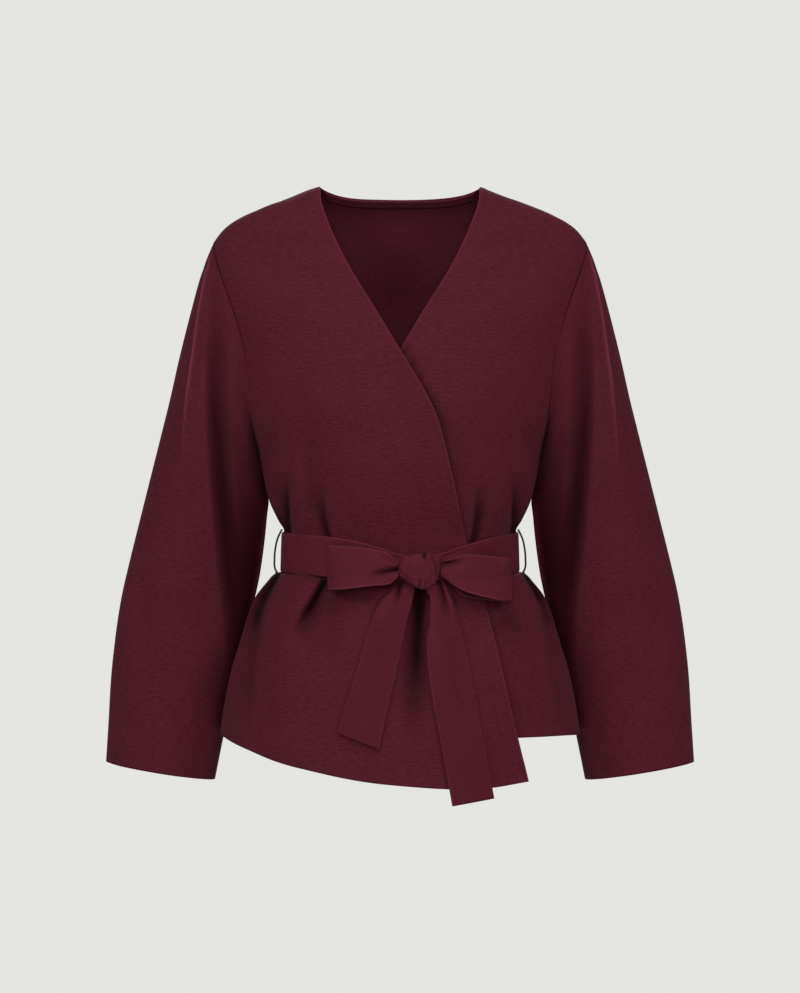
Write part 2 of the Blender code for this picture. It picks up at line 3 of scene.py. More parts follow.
import bmesh
import bpy
import numpy as np
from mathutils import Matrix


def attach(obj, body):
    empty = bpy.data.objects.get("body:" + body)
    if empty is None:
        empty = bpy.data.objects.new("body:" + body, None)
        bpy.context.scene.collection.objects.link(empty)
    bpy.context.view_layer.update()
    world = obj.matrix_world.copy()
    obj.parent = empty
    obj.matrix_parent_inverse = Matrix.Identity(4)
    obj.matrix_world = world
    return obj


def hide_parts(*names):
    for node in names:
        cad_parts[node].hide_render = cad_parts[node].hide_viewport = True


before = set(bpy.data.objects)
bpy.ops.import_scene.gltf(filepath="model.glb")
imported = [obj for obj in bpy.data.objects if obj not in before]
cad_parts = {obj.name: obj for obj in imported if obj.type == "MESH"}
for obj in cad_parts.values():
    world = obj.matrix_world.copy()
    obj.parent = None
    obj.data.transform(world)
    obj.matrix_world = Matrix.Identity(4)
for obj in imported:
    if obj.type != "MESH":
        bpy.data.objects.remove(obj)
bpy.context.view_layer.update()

# The crepe. The whole jacket is one matte wine-red crepe, whose fine ribs run across each piece
# over a pebbled ground. The ribs follow each piece's own weave map, which is in metres.
CLOTH_COLOUR = (0.0960, 0.0130, 0.0240, 1.0)
CLOTH_DEEP = (0.0660, 0.0078, 0.0150, 1.0)
# The next two colours are painted. A near black red is painted shade in folds, seams and shadows,
# and a paler red is a painted highlight on edges, pressed lines and the inside of the neck.
PAINTED_SHADE_COLOUR = (0.0150, 0.0012, 0.0026, 1.0)
PAINTED_HIGHLIGHT_COLOUR = (0.1700, 0.0300, 0.0520, 1.0)
SHEEN_COLOUR = (0.75, 0.35, 0.42, 1.0)

# Spacings are in metres, lengths in spacings. The rest say how much of the height or the tone
# each of the ribs, pebbles and clouds makes; the height's share of the tone paints the weave's
# hollows darker, a painted shade, and the clouds vary the tone at random.
RIB_SPACING, RIB_LENGTH, RIB_WAVE, RIB_UNEVEN = 0.0021, 3.5, 0.11, 0.9
WANDER_ALONG, WANDER_ACROSS, WANDER_TURNS = 0.016, 0.010, 1.6
PEBBLE_SPACING, PEBBLE_LENGTH, PEBBLE_HEIGHT = 0.0012, 1.3, 0.6
CLOUD_ALONG, CLOUD_ACROSS, CLOUD_TONE, HEIGHT_TONE = 0.060, 0.045, 0.22, 0.72
DULLNESS, DULLNESS_IN_RIBS = 0.92, 0.12


def new_group(name, numbers, colours, outputs):
    """A shader group with its sockets made, and its two ends."""
    group = bpy.data.node_groups.new(name, "ShaderNodeTree")
    for label, kind in [("Weave", "NodeSocketVector")] + [
            (label, "NodeSocketFloat") for label in numbers] + [
            (label, "NodeSocketColor") for label in colours]:
        group.interface.new_socket(label, in_out="INPUT", socket_type=kind)
    for label, kind in outputs:
        group.interface.new_socket(label, in_out="OUTPUT", socket_type=kind)
    return group, group.nodes.new("NodeGroupInput"), group.nodes.new("NodeGroupOutput")


def feed(tree, socket, value):
    """A socket takes another's link, or a plain value."""
    if isinstance(value, bpy.types.NodeSocket):
        tree.links.new(value, socket)
    else:
        socket.default_value = value


def maths(tree, operation, *values):
    """A maths node fed by sockets or numbers."""
    node = tree.nodes.new("ShaderNodeMath")
    node.operation = operation
    for socket, value in zip(node.inputs, values):
        feed(tree, socket, value)
    return node.outputs[0]


def tinted(tree, share, ground, tint):
    """A ground colour turned to a tint by a share."""
    node = tree.nodes.new("ShaderNodeMix")
    node.data_type = "RGBA"
    for label, value in (("Factor", share), ("A", ground), ("B", tint)):
        feed(tree, node.inputs[label], value)
    return node.outputs["Result"]


def streaks(tree, weave, along, across, detail):
    """Noise drawn out by its own spacings along and across the cloth."""
    parts = tree.nodes.new("ShaderNodeSeparateXYZ")
    tree.links.new(weave, parts.inputs[0])
    joined = tree.nodes.new("ShaderNodeCombineXYZ")
    tree.links.new(maths(tree, "DIVIDE", parts.outputs[0], along), joined.inputs[0])
    tree.links.new(maths(tree, "DIVIDE", parts.outputs[1], across), joined.inputs[1])
    noise = tree.nodes.new("ShaderNodeTexNoise")
    noise.noise_dimensions = "2D"
    noise.inputs["Scale"].default_value = 1.0
    noise.inputs["Detail"].default_value = detail
    noise.inputs["Roughness"].default_value = 0.6
    tree.links.new(joined.outputs[0], noise.inputs["Vector"])
    return noise.outputs[0]


def crepe_group():
    """Colour, height and roughness of the crepe, from a weave map in metres, with painted shade and
    painted highlight mixed into its colour.
    """
    group, given, made = new_group(
        "Crepe", ("Rib spacing", "Pebble spacing", "Rib depth", "PaintedShade", "PaintedHighlight"),
        ("Lit yarn", "Deep yarn"),
        [("Color", "NodeSocketColor"), ("Height", "NodeSocketFloat"),
         ("Roughness", "NodeSocketFloat")])
    weave, ribs = given.outputs["Weave"], given.outputs["Rib spacing"]
    pebbles = given.outputs["Pebble spacing"]
    parts = group.nodes.new("ShaderNodeSeparateXYZ")
    group.links.new(weave, parts.inputs[0])
    wander = streaks(group, weave, WANDER_ALONG, WANDER_ACROSS, detail=2.0)
    turns = maths(group, "ADD", maths(group, "DIVIDE", parts.outputs[1], ribs),
                  maths(group, "MULTIPLY", wander, WANDER_TURNS))
    wave = maths(group, "SINE", maths(group, "MULTIPLY", turns, 2 * math.pi))
    rib_length = maths(group, "MULTIPLY", ribs, RIB_LENGTH)
    uneven = streaks(group, weave, rib_length, ribs, detail=1.0)
    rib = maths(group, "ADD", maths(group, "MULTIPLY", wave, RIB_WAVE),
                maths(group, "MULTIPLY", uneven, RIB_UNEVEN))
    pebble_length = maths(group, "MULTIPLY", pebbles, PEBBLE_LENGTH)
    pebble = streaks(group, weave, pebble_length, pebbles, detail=2.0)
    cloud = streaks(group, weave, CLOUD_ALONG, CLOUD_ACROSS, detail=2.0)
    ribbed = maths(group, "MULTIPLY", rib, given.outputs["Rib depth"])
    height = maths(group, "ADD", ribbed, maths(group, "MULTIPLY", pebble, PEBBLE_HEIGHT))
    group.links.new(height, made.inputs["Height"])
    # The tone is paler where the weave stands higher: a painted shade in the hollows, plus clouds
    # that vary it at random.
    tone = maths(group, "ADD", maths(group, "MULTIPLY", height, HEIGHT_TONE),
                 maths(group, "MULTIPLY", cloud, CLOUD_TONE))
    spread = group.nodes.new("ShaderNodeMapRange")
    spread.inputs["From Min"].default_value = 0.42
    spread.inputs["From Max"].default_value = 0.80
    group.links.new(tone, spread.inputs["Value"])
    yarn = tinted(group, spread.outputs[0], given.outputs["Deep yarn"], given.outputs["Lit yarn"])
    # A painted highlight, then painted shade, mixed into the yarn's colour.
    highlighted = tinted(group, given.outputs["PaintedHighlight"], yarn, PAINTED_HIGHLIGHT_COLOUR)
    painted_shade = tinted(group, given.outputs["PaintedShade"], highlighted, PAINTED_SHADE_COLOUR)
    group.links.new(painted_shade, made.inputs["Color"])
    rib_gloss = maths(group, "MULTIPLY", height, DULLNESS_IN_RIBS)
    group.links.new(maths(group, "SUBTRACT", DULLNESS, rib_gloss), made.inputs["Roughness"])
    return group


CREPE = crepe_group()


def new_finish(name):
    """A material with its node tree and its own Principled shader."""
    made = bpy.data.materials.new(name)
    made.use_nodes = True
    return made, made.node_tree, made.node_tree.nodes["Principled BSDF"]


def raise_surface(tree, shader, height, strength, distance):
    """A fine relief on the surface, from a height."""
    bump = tree.nodes.new("ShaderNodeBump")
    bump.inputs["Strength"].default_value = strength
    bump.inputs["Distance"].default_value = distance
    tree.links.new(height, bump.inputs["Height"])
    tree.links.new(bump.outputs["Normal"], shader.inputs["Normal"])


def crepe(name, lit, deep, rib_depth):
    """A crepe of its own two yarn tones."""
    made, tree, shader = new_finish(name)
    shader.inputs["Specular IOR Level"].default_value = 0.09
    shader.inputs["Sheen Weight"].default_value = 0.04
    shader.inputs["Sheen Roughness"].default_value = 0.45
    shader.inputs["Sheen Tint"].default_value = SHEEN_COLOUR
    weave = tree.nodes.new("ShaderNodeUVMap")
    weave.uv_map = "Weave"
    cloth = tree.nodes.new("ShaderNodeGroup")
    cloth.node_tree = CREPE
    for label, value in (("Rib spacing", RIB_SPACING), ("Pebble spacing", PEBBLE_SPACING),
                         ("Rib depth", rib_depth), ("Lit yarn", lit), ("Deep yarn", deep)):
        cloth.inputs[label].default_value = value
    tree.links.new(weave.outputs["UV"], cloth.inputs["Weave"])
    for shade in ("PaintedShade", "PaintedHighlight"):
        kept = tree.nodes.new("ShaderNodeAttribute")
        kept.attribute_name = shade
        tree.links.new(kept.outputs["Fac"], cloth.inputs[shade])
    tree.links.new(cloth.outputs["Color"], shader.inputs["Base Color"])
    tree.links.new(cloth.outputs["Roughness"], shader.inputs["Roughness"])
    raise_surface(tree, shader, cloth.outputs["Height"], strength=0.8, distance=0.0005)
    return made


cloth_crepe = crepe("jacket_crepe", CLOTH_COLOUR, CLOTH_DEEP, rib_depth=0.9)

# The back. One panel of crepe from the shoulder seams to the hem, shaped to the body and drawn
# in by the belt, with deep soft folds above and below it. It is sewn along its sides, the
# armholes and the shoulders, and its neck edge is faced. The body's rings are also the fronts'.
CLOTH_WALL = 0.0015
SEAM_LAP = 0.0002
ORIGIN_RAISE = 0.0015


def table(columns, rows):
    """One array for each named column of a short table."""
    values = np.array(rows, dtype=float)
    return {name: values[:, index] for index, name in enumerate(columns.split())}


BODY = table("height half_width front_depth back_depth", [
    (0.020, 0.2260, 0.060, 0.095),
    (-0.060, 0.2200, 0.080, 0.100),
    (-0.130, 0.2050, 0.104, 0.112),
    (-0.200, 0.1845, 0.121, 0.114),
    (-0.245, 0.1745, 0.127, 0.110),
    (-0.288, 0.1570, 0.125, 0.106),
    (-0.344, 0.1440, 0.114, 0.098),
    (-0.366, 0.1340, 0.1056, 0.0940),
    (-0.378, 0.1275, 0.1024, 0.0926),
    (-0.400, 0.1281, 0.1000, 0.0920),
    (-0.424, 0.1290, 0.1010, 0.0930),
    (-0.4258, 0.1372, 0.1020, 0.0940),
    (-0.434, 0.1456, 0.1046, 0.0966),
    (-0.455, 0.1610, 0.111, 0.104),
    (-0.497, 0.1750, 0.124, 0.117),
    (-0.551, 0.1900, 0.136, 0.132),
    (-0.600, 0.1975, 0.143, 0.140),
    (-0.670, 0.2030, 0.148, 0.146),
])
SHOULDER = table("across height", [
    (0.000, 0.0090),
    (0.045, 0.0070),
    (0.088, 0.0000),
    (0.121, -0.0120),
    (0.146, -0.0210),
    (0.168, -0.0300),
    (0.190, -0.0440),
    (0.205, -0.0620),
    (0.225, -0.1000),
])
UNDERARM_HEIGHT, BELT_TOP, BELT_BOTTOM, HEM_HEIGHT = -0.288, -0.378, -0.424, -0.600
WAIST_DIP, WAIST_HEIGHT, WAIST_SPREAD, WAIST_FLATNESS = 0.008, -0.401, 0.050, 4
SHOULDER_ROUND, SHOULDER_POWER = 0.110, 2.2
NECK_HALF_WIDTH, NECK_BACK_DROP, NECK_BACK_POWER = 0.088, 0.0088, 4
TIP_ACROSS, ARMHOLE_HOLLOW = 0.205, 0.011
PEPLUM_SHARES = (0.0, 0.055, 0.13, 0.25, 0.41, 0.60, 0.80, 1.0)
LEVEL_ROUNDS = 5

# Creases fade out SIDE_CALM from a side seam and their painted shade SIDE_SHADE from it, and one
# that is
# FOLD_DEPTH deep has the whole painted shade colour. The inside of the neck is painted paler, a
# painted highlight where it faces the light.
SIDE_CALM, SIDE_SHADE, FOLD_DEPTH = 0.010, 0.0008, 0.014
BODY_ROWS, ROW_CROWD = (46, 38, 10, 66), 0.55
NECK_POINTS, SHOULDER_POINTS = 61, 56
BACK_CALM = 0.25
SLACK_WAVES, SLACK_SHORT, SLACK_LONG, SLACK_DOWN = 9, 0.045, 0.150, 0.6
TURNED_STEP = 0.35
NECK_GLOW, NECK_GLOW_WIDTH, NECK_GLOW_DEPTH, NECK_GLOW_HEIGHT = 0.30, 0.110, 0.075, -0.020
NECK_GLOW_REACH = 1.3

# Creases, as seen from the front: where the line starts and ends, how far its middle lies to +X,
# its width towards -X and towards +X, how much it widens to its end, and how far it moves the
# cloth out (in, below 0). One that starts at the belt starts a little under it.
BACK_CREASES = table("x0 z0 x1 z1 bow low_x high_x spread depth", [
    (-0.112, -0.386, -0.118, -0.290, 0.000, 0.0080, 0.0020, 1.8, -0.0050),
    (-0.062, -0.386, -0.064, -0.260, 0.002, 0.0090, 0.0030, 2.0, -0.0060),
    (-0.040, -0.386, -0.036, -0.310, 0.000, 0.0060, 0.0060, 1.8, -0.0026),
    (-0.018, -0.386, -0.012, -0.290, 0.001, 0.0070, 0.0030, 2.0, -0.0042),
    (0.034, -0.386, 0.037, -0.255, -0.002, 0.0030, 0.0090, 2.0, -0.0060),
    (0.060, -0.386, 0.066, -0.318, 0.000, 0.0060, 0.0060, 1.6, -0.0024),
    (0.088, -0.386, 0.096, -0.290, 0.000, 0.0022, 0.0080, 1.8, -0.0050),
    (0.118, -0.386, 0.122, -0.320, 0.000, 0.0020, 0.0070, 1.5, -0.0034),
    (-0.116, -0.416, -0.152, -0.520, 0.002, 0.0090, 0.0030, 2.0, -0.0062),
    (-0.092, -0.416, -0.102, -0.490, 0.000, 0.0070, 0.0070, 1.8, -0.0028),
    (-0.066, -0.416, -0.084, -0.560, 0.002, 0.0100, 0.0035, 2.2, -0.0066),
    (-0.024, -0.416, -0.020, -0.505, 0.000, 0.0035, 0.0080, 2.0, -0.0044),
    (0.004, -0.416, 0.006, -0.470, 0.000, 0.0060, 0.0060, 1.6, -0.0022),
    (0.030, -0.416, 0.038, -0.550, -0.002, 0.0035, 0.0100, 2.2, -0.0066),
    (0.080, -0.416, 0.104, -0.520, -0.002, 0.0030, 0.0090, 2.0, -0.0056),
    (0.122, -0.416, 0.152, -0.500, -0.002, 0.0030, 0.0080, 1.8, -0.0050),
    (-0.150, -0.120, -0.110, -0.215, 0.010, 0.0200, 0.0200, 1.3, -0.0030),
    (0.152, -0.115, 0.108, -0.205, -0.010, 0.0200, 0.0200, 1.3, -0.0028),
    (-0.040, -0.060, 0.044, -0.072, 0.004, 0.0140, 0.0140, 1.0, -0.0014),
])


def curve_through(knots, values, at):
    """A smooth curve through the values that never overshoots them (monotone cubic)."""
    if knots[0] > knots[-1]:
        knots, values = knots[::-1], values[::-1]
    step = np.diff(knots)
    slope = np.diff(values) / step
    tangent = np.zeros_like(values)
    tangent[0], tangent[-1] = slope[0], slope[-1]
    inner = slope[:-1] * slope[1:] > 0
    mean = 2 * slope[:-1] * slope[1:] / np.where(inner, slope[:-1] + slope[1:], 1)
    tangent[1:-1] = np.where(inner, mean, 0)
    at = np.asarray(at, dtype=float)
    left = np.clip(np.searchsorted(knots, at) - 1, 0, len(step) - 1)
    t = np.clip((at - knots[left]) / step[left], 0, 1)
    rise = (3 - 2 * t) * t * t
    bend = step[left] * t * (1 - t)
    return (values[left] * (1 - rise) + values[left + 1] * rise
            + bend * (tangent[left] * (1 - t) - tangent[left + 1] * t))


def smooth(share):
    """Rises softly from 0 to 1 as the share does."""
    share = np.clip(share, 0, 1)
    return share * share * (3 - 2 * share)


def half_width(height):
    """Half the body's width at a height."""
    return curve_through(BODY["height"], BODY["half_width"], height)


def shoulder_height(across):
    """The shoulder line's height at a distance from the middle."""
    return curve_through(SHOULDER["across"], SHOULDER["height"], np.abs(across))


def dip(angle, level):
    """How far the front lies below its level at the side seam."""
    away = (level - WAIST_HEIGHT) / WAIST_SPREAD
    return WAIST_DIP * np.cos(angle) ** 2 * np.exp(-away ** WAIST_FLATNESS)


def angle_at(across, level, lift=0.0):
    """The angle round the body, from the middle of the front or back, of a distance across."""
    return np.arcsin(np.clip(across / (half_width(level) + lift), -1, 1))


def body_point(face, angle, level, lift):
    """A point on the front (face -1) or back (face 1), by its level at the side seam."""
    column = "front_depth" if face < 0 else "back_depth"
    depth = curve_through(BODY["height"], BODY[column], level)
    width = half_width(level)
    below = shoulder_height(width * np.sin(angle)) - level
    up = np.clip(1 - below / SHOULDER_ROUND, 0, 1)
    rounding = (1 - up ** SHOULDER_POWER) ** (1 / SHOULDER_POWER)
    x = (width + lift) * np.sin(angle)
    y = face * (depth + lift) * np.cos(angle) * rounding
    z = level + lift * up - (dip(angle, level) if face < 0 else 0)
    return np.stack([x, y, z], axis=-1)


def armhole(turn, lift=0.0):
    """The armhole at +X, by turn: 0 at the shoulder tip, pi at the underarm, round the front."""
    share = (1 - np.cos(turn)) / 2
    tip_height = shoulder_height(TIP_ACROSS)
    height = tip_height + share * (UNDERARM_HEIGHT - tip_height)
    chord = TIP_ACROSS + share * (half_width(UNDERARM_HEIGHT) - TIP_ACROSS)
    across = chord - ARMHOLE_HOLLOW * np.sin(math.pi * share) ** 2
    angle = angle_at(across, height)
    front = body_point(-1, angle, height, lift)
    back = body_point(1, angle, height, lift)
    return np.where((np.sin(turn) >= 0)[..., None], front, back), angle, height


def eased(start, end, count, crowd):
    """Steps from start to end that lie closer together at the ends, by crowd from 0 to 1."""
    even = np.linspace(0, 1, count + 1)
    return start + (end - start) * (even - crowd * np.sin(2 * math.pi * even) / (2 * math.pi))


def row_stations():
    """Stations down a panel: 0 to 1 armhole, 2 belt's top, 3 belt's foot, 4 hem."""
    steps = [eased(index, index + 1, count, ROW_CROWD if index in (0, 3) else 0.0)[:-1]
             for index, count in enumerate(BODY_ROWS)]
    return np.concatenate([*steps, [4.0]])


def peplum_share(station):
    """How far down the peplum a station lies, from 0 at the belt to 1 at the hem."""
    rows = np.linspace(0, 1, len(PEPLUM_SHARES))
    return curve_through(rows, np.array(PEPLUM_SHARES), np.clip(station - 3, 0, 1))


def levels_down(station, armhole_level, hem_height):
    """Levels at stations, from the armhole's own level down to a hem."""
    bodice = UNDERARM_HEIGHT + (BELT_TOP - UNDERARM_HEIGHT) * (station - 1)
    belt = BELT_TOP + (BELT_BOTTOM - BELT_TOP) * (station - 2)
    peplum = BELT_BOTTOM + (hem_height - BELT_BOTTOM) * peplum_share(station)
    return np.select([station <= 1, station <= 2, station <= 3],
                     [armhole_level, bodice, belt], peplum)


def side_edge(station):
    """A panel's outer edge: the armhole, and then the side seam."""
    _, angle, height = armhole(math.pi * np.clip(station, 0, 1))
    return np.where(station <= 1, angle, math.pi / 2), levels_down(station, height, HEM_HEIGHT)


def patch(near, far, top, bottom, shares, station):
    """Angles and heights inside four edges, with the top and the hem faded out at the belt."""
    top_fade = np.clip(1 - station, 0, 1)[:, None, None]
    hem_fade = smooth(station - 3)[:, None, None]
    across = shares[None, :, None]
    straight = near[:, None] * (1 - across) + far[:, None] * across
    top_bow = top - (top[0] * (1 - shares[:, None]) + top[-1] * shares[:, None])
    hem_bow = bottom - (bottom[0] * (1 - shares[:, None]) + bottom[-1] * shares[:, None])
    return straight + top_fade * top_bow[None] + hem_fade * hem_bow[None]


def creases(rows, across, height, begin=0.008, end=0.6):
    """How far the creases move the cloth at places seen from the front."""
    total = np.zeros_like(across)
    for x0, z0, x1, z1, bow, low_x, high_x, spread, depth in zip(*rows.values()):
        length = math.hypot(x1 - x0, z1 - z0)
        along_x, along_z = (x1 - x0) / length, (z1 - z0) / length
        beyond = ((across - x0) * along_x + (height - z0) * along_z) / length
        inside = np.clip(beyond, 0, 1)
        side = ((across - x0) * along_z - (height - z0) * along_x) * math.copysign(1, along_z)
        side = side - 4 * bow * inside * (1 - inside)
        width = np.where(side < 0, low_x, high_x) * (1 + (spread - 1) * inside)
        fade = smooth(beyond * length / begin) * smooth((1 - beyond) / end)
        total = total + depth * fade * np.exp(-(side / width) ** 2)
    return total


def slack(across, height, seed, size):
    """The slight unevenness of hung cloth, from a few long waves with a fixed seed."""
    waves = np.random.default_rng(seed)
    total = np.zeros_like(across)
    for _ in range(SLACK_WAVES):
        length = waves.uniform(SLACK_SHORT, SLACK_LONG)
        heading, start = waves.uniform(0, math.pi), waves.uniform(0, 2 * math.pi)
        run = across * math.cos(heading) + height * math.sin(heading) * SLACK_DOWN
        total = total + np.sin(2 * math.pi * run / length + start)
    return size * total / math.sqrt(SLACK_WAVES)


def turned_edge(away, reach, rise):
    """The slight swell of the layers turned in along an edge, ending in a soft step."""
    return rise * (1 - smooth((away - reach) / (TURNED_STEP * reach)))


def weave_map(points, centre, closed=False):
    """Places on the cloth in metres: across its width from one column, and down its length."""
    if closed:
        points = np.concatenate([points, points[:, :1]], axis=1)
    over = np.linalg.norm(np.diff(points, axis=1), axis=-1)
    down = np.linalg.norm(np.diff(points, axis=0), axis=-1)
    u = np.concatenate([np.zeros((len(points), 1)), np.cumsum(over, axis=1)], axis=1)
    v = np.concatenate([[0.0], np.cumsum(np.mean(down, axis=1))])
    return np.stack([u - u[:, centre:centre + 1], np.broadcast_to(v[:, None], u.shape)], axis=-1)


def placed(name, data):
    """An object in the scene for a mesh, a curve, a light or a camera."""
    made = bpy.data.objects.new(name, data)
    bpy.context.scene.collection.objects.link(made)
    return made


def cloth_mesh(name, points, weave, finish, closed=False, turned=False):
    """A sheet's mesh through a grid of points, with its weave map."""
    rows, columns = points.shape[:2]
    wide = columns + 1 if closed else columns
    corner = np.arange(rows * wide).reshape(rows, wide)
    vertex = np.arange(rows * columns).reshape(rows, columns)
    if closed:
        vertex = np.concatenate([vertex, vertex[:, :1]], axis=1)

    def quads(grid):
        faces = np.stack([grid[:-1, :-1], grid[1:, :-1], grid[1:, 1:], grid[:-1, 1:]], axis=-1)
        return (faces[..., ::-1] if turned else faces).reshape(-1, 4)

    mesh = bpy.data.meshes.new(name)
    raised = points.reshape(-1, 3) + (0, 0, ORIGIN_RAISE)
    mesh.from_pydata(raised.tolist(), [], quads(vertex).tolist())
    layer = mesh.uv_layers.new(name="Weave")
    layer.data.foreach_set("uv", weave.reshape(-1, 2)[quads(corner)].ravel())
    mesh.shade_smooth()
    mesh.materials.append(finish)
    return placed(name, mesh)


def cloth_sheet(name, node, points, weave, wall, offset, finish, closed=False, turned=False):
    """A sheet of cloth with its wall, which stands for a node."""
    made = cloth_mesh(name, points, weave, finish, closed, turned)
    shell = made.modifiers.new("Wall", "SOLIDIFY")
    shell.thickness = wall
    shell.offset = offset
    shell.use_even_offset = True
    return worn(made, node)


def keep_shade(mesh, label, amount):
    """Light and shade painted on the cloth, 0 to 1: one layer darkens folds, seams and shadows, the
    other pales edges and pressed lines.
    """
    layer = mesh.attributes.new(label, "FLOAT", "POINT")
    layer.data.foreach_set("value", np.clip(np.ravel(amount), 0, 1).astype(np.float32))


def worn(made, node):
    """A piece takes a node's place, and rides on the jacket."""
    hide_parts(node)
    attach(made, "root")
    return made


def body_panel(name, node, face, grid, lift, relief, centre, turned, beside=0.0):
    """A panel of the body, made from its inner face outwards and lapped a little at its seams."""
    angle, height = grid[..., 0], grid[..., 1]
    points = body_point(face, angle, height, lift - CLOTH_WALL)
    to_side = half_width(height) * (1 - np.abs(np.sin(angle)))
    points[..., 1] += face * (relief * smooth(to_side / SIDE_CALM) - SEAM_LAP / 2)
    weave = weave_map(points, centre)
    weave[..., 1] = height
    made = cloth_sheet(name, node, points, weave, CLOTH_WALL, 1.0, cloth_crepe, turned=turned)
    # Painted shade: darker in the depth of the creases, plus any painted shadow passed in beside
    # them.
    keep_shade(made.data, "PaintedShade", beside - relief * smooth(to_side / SIDE_SHADE) / FOLD_DEPTH)
    return made


station = row_stations()
neck_turn = np.linspace(0, math.pi, NECK_POINTS)
neck_across = -NECK_HALF_WIDTH * np.cos(neck_turn)
neck_height = -NECK_BACK_DROP * (1 - np.cos(neck_turn) ** NECK_BACK_POWER)
shoulder_across = np.linspace(TIP_ACROSS, NECK_HALF_WIDTH, SHOULDER_POINTS)
top_across = np.concatenate([-shoulder_across[:-1], neck_across, shoulder_across[::-1][1:]])
ridge = shoulder_height(shoulder_across[:-1])
top_level = np.concatenate([ridge, neck_height, ridge[::-1]])
top = np.stack([angle_at(top_across, top_level), top_level], axis=-1)
shares = (top[:, 0] - top[0, 0]) / (top[-1, 0] - top[0, 0])
side_angle, side_level = side_edge(station)
near = np.stack([-side_angle, side_level], axis=-1)
far = np.stack([side_angle, side_level], axis=-1)
hem = np.stack([near[-1, 0] * (1 - shares) + far[-1, 0] * shares,
                np.full(len(shares), HEM_HEIGHT)], axis=-1)
grid = patch(near, far, top, hem, shares, station)
across = half_width(grid[..., 1]) * np.sin(grid[..., 0])
calm = smooth((math.pi / 2 - np.abs(grid[..., 0])) / BACK_CALM)
relief = creases(BACK_CREASES, across, grid[..., 1])
lift = calm * slack(across, grid[..., 1], seed=4, size=0.0009)
lift += turned_edge(grid[..., 1] - HEM_HEIGHT, reach=0.020, rise=0.0003)
back_panel = body_panel("back_panel", "back", 1, grid, lift, relief, len(shares) // 2, True)
# A painted highlight on the inside of the back of the neck.
from_neck = np.hypot(across / NECK_GLOW_WIDTH, (grid[..., 1] - NECK_GLOW_HEIGHT) / NECK_GLOW_DEPTH)
keep_shade(back_panel.data, "PaintedHighlight", NECK_GLOW * smooth(NECK_GLOW_REACH - from_neck))

# The two fronts. Each is one panel of crepe from the shoulder to the hem. The wearer's right one
# lies over the left one, and its faced edge is turned in. The belt holds both, so folds run up and
# down from it. The right one's hem dips to a rounded corner, the left one's is straight.
FRONT_EDGE = table("height across", [
    (0.000, -0.0880),
    (-0.016, -0.0862),
    (-0.037, -0.0800),
    (-0.066, -0.0683),
    (-0.093, -0.0550),
    (-0.145, -0.0232),
    (-0.183, -0.0008),
    (-0.224, 0.0226),
    (-0.257, 0.0376),
    (-0.306, 0.0502),
    (-0.363, 0.0632),
    (-0.392, 0.0696),
    (-0.455, 0.0890),
    (-0.551, 0.1120),
    (-0.645, 0.1340),
])
OVER_HEM = table("run height", [
    (0.00, -0.6005),
    (0.10, -0.6028),
    (0.25, -0.6117),
    (0.45, -0.6290),
    (0.65, -0.6440),
    (0.85, -0.6500),
    (1.00, -0.6440),
])
UNDER_HEM = table("run height", [
    (0.00, -0.6020),
    (0.25, -0.5985),
    (1.00, -0.5960),
])
WRAP_LIFT, WRAP_LOOSE_LIFT, WRAP_MARGIN = 0.0030, 0.0046, 0.045
WRAP_TOP_HEIGHT, WRAP_FULL_HEIGHT = -0.120, -0.175
EDGE_STAND, EDGE_STAND_HEIGHT, EDGE_STAND_SPREAD = 0.0050, -0.255, 0.080

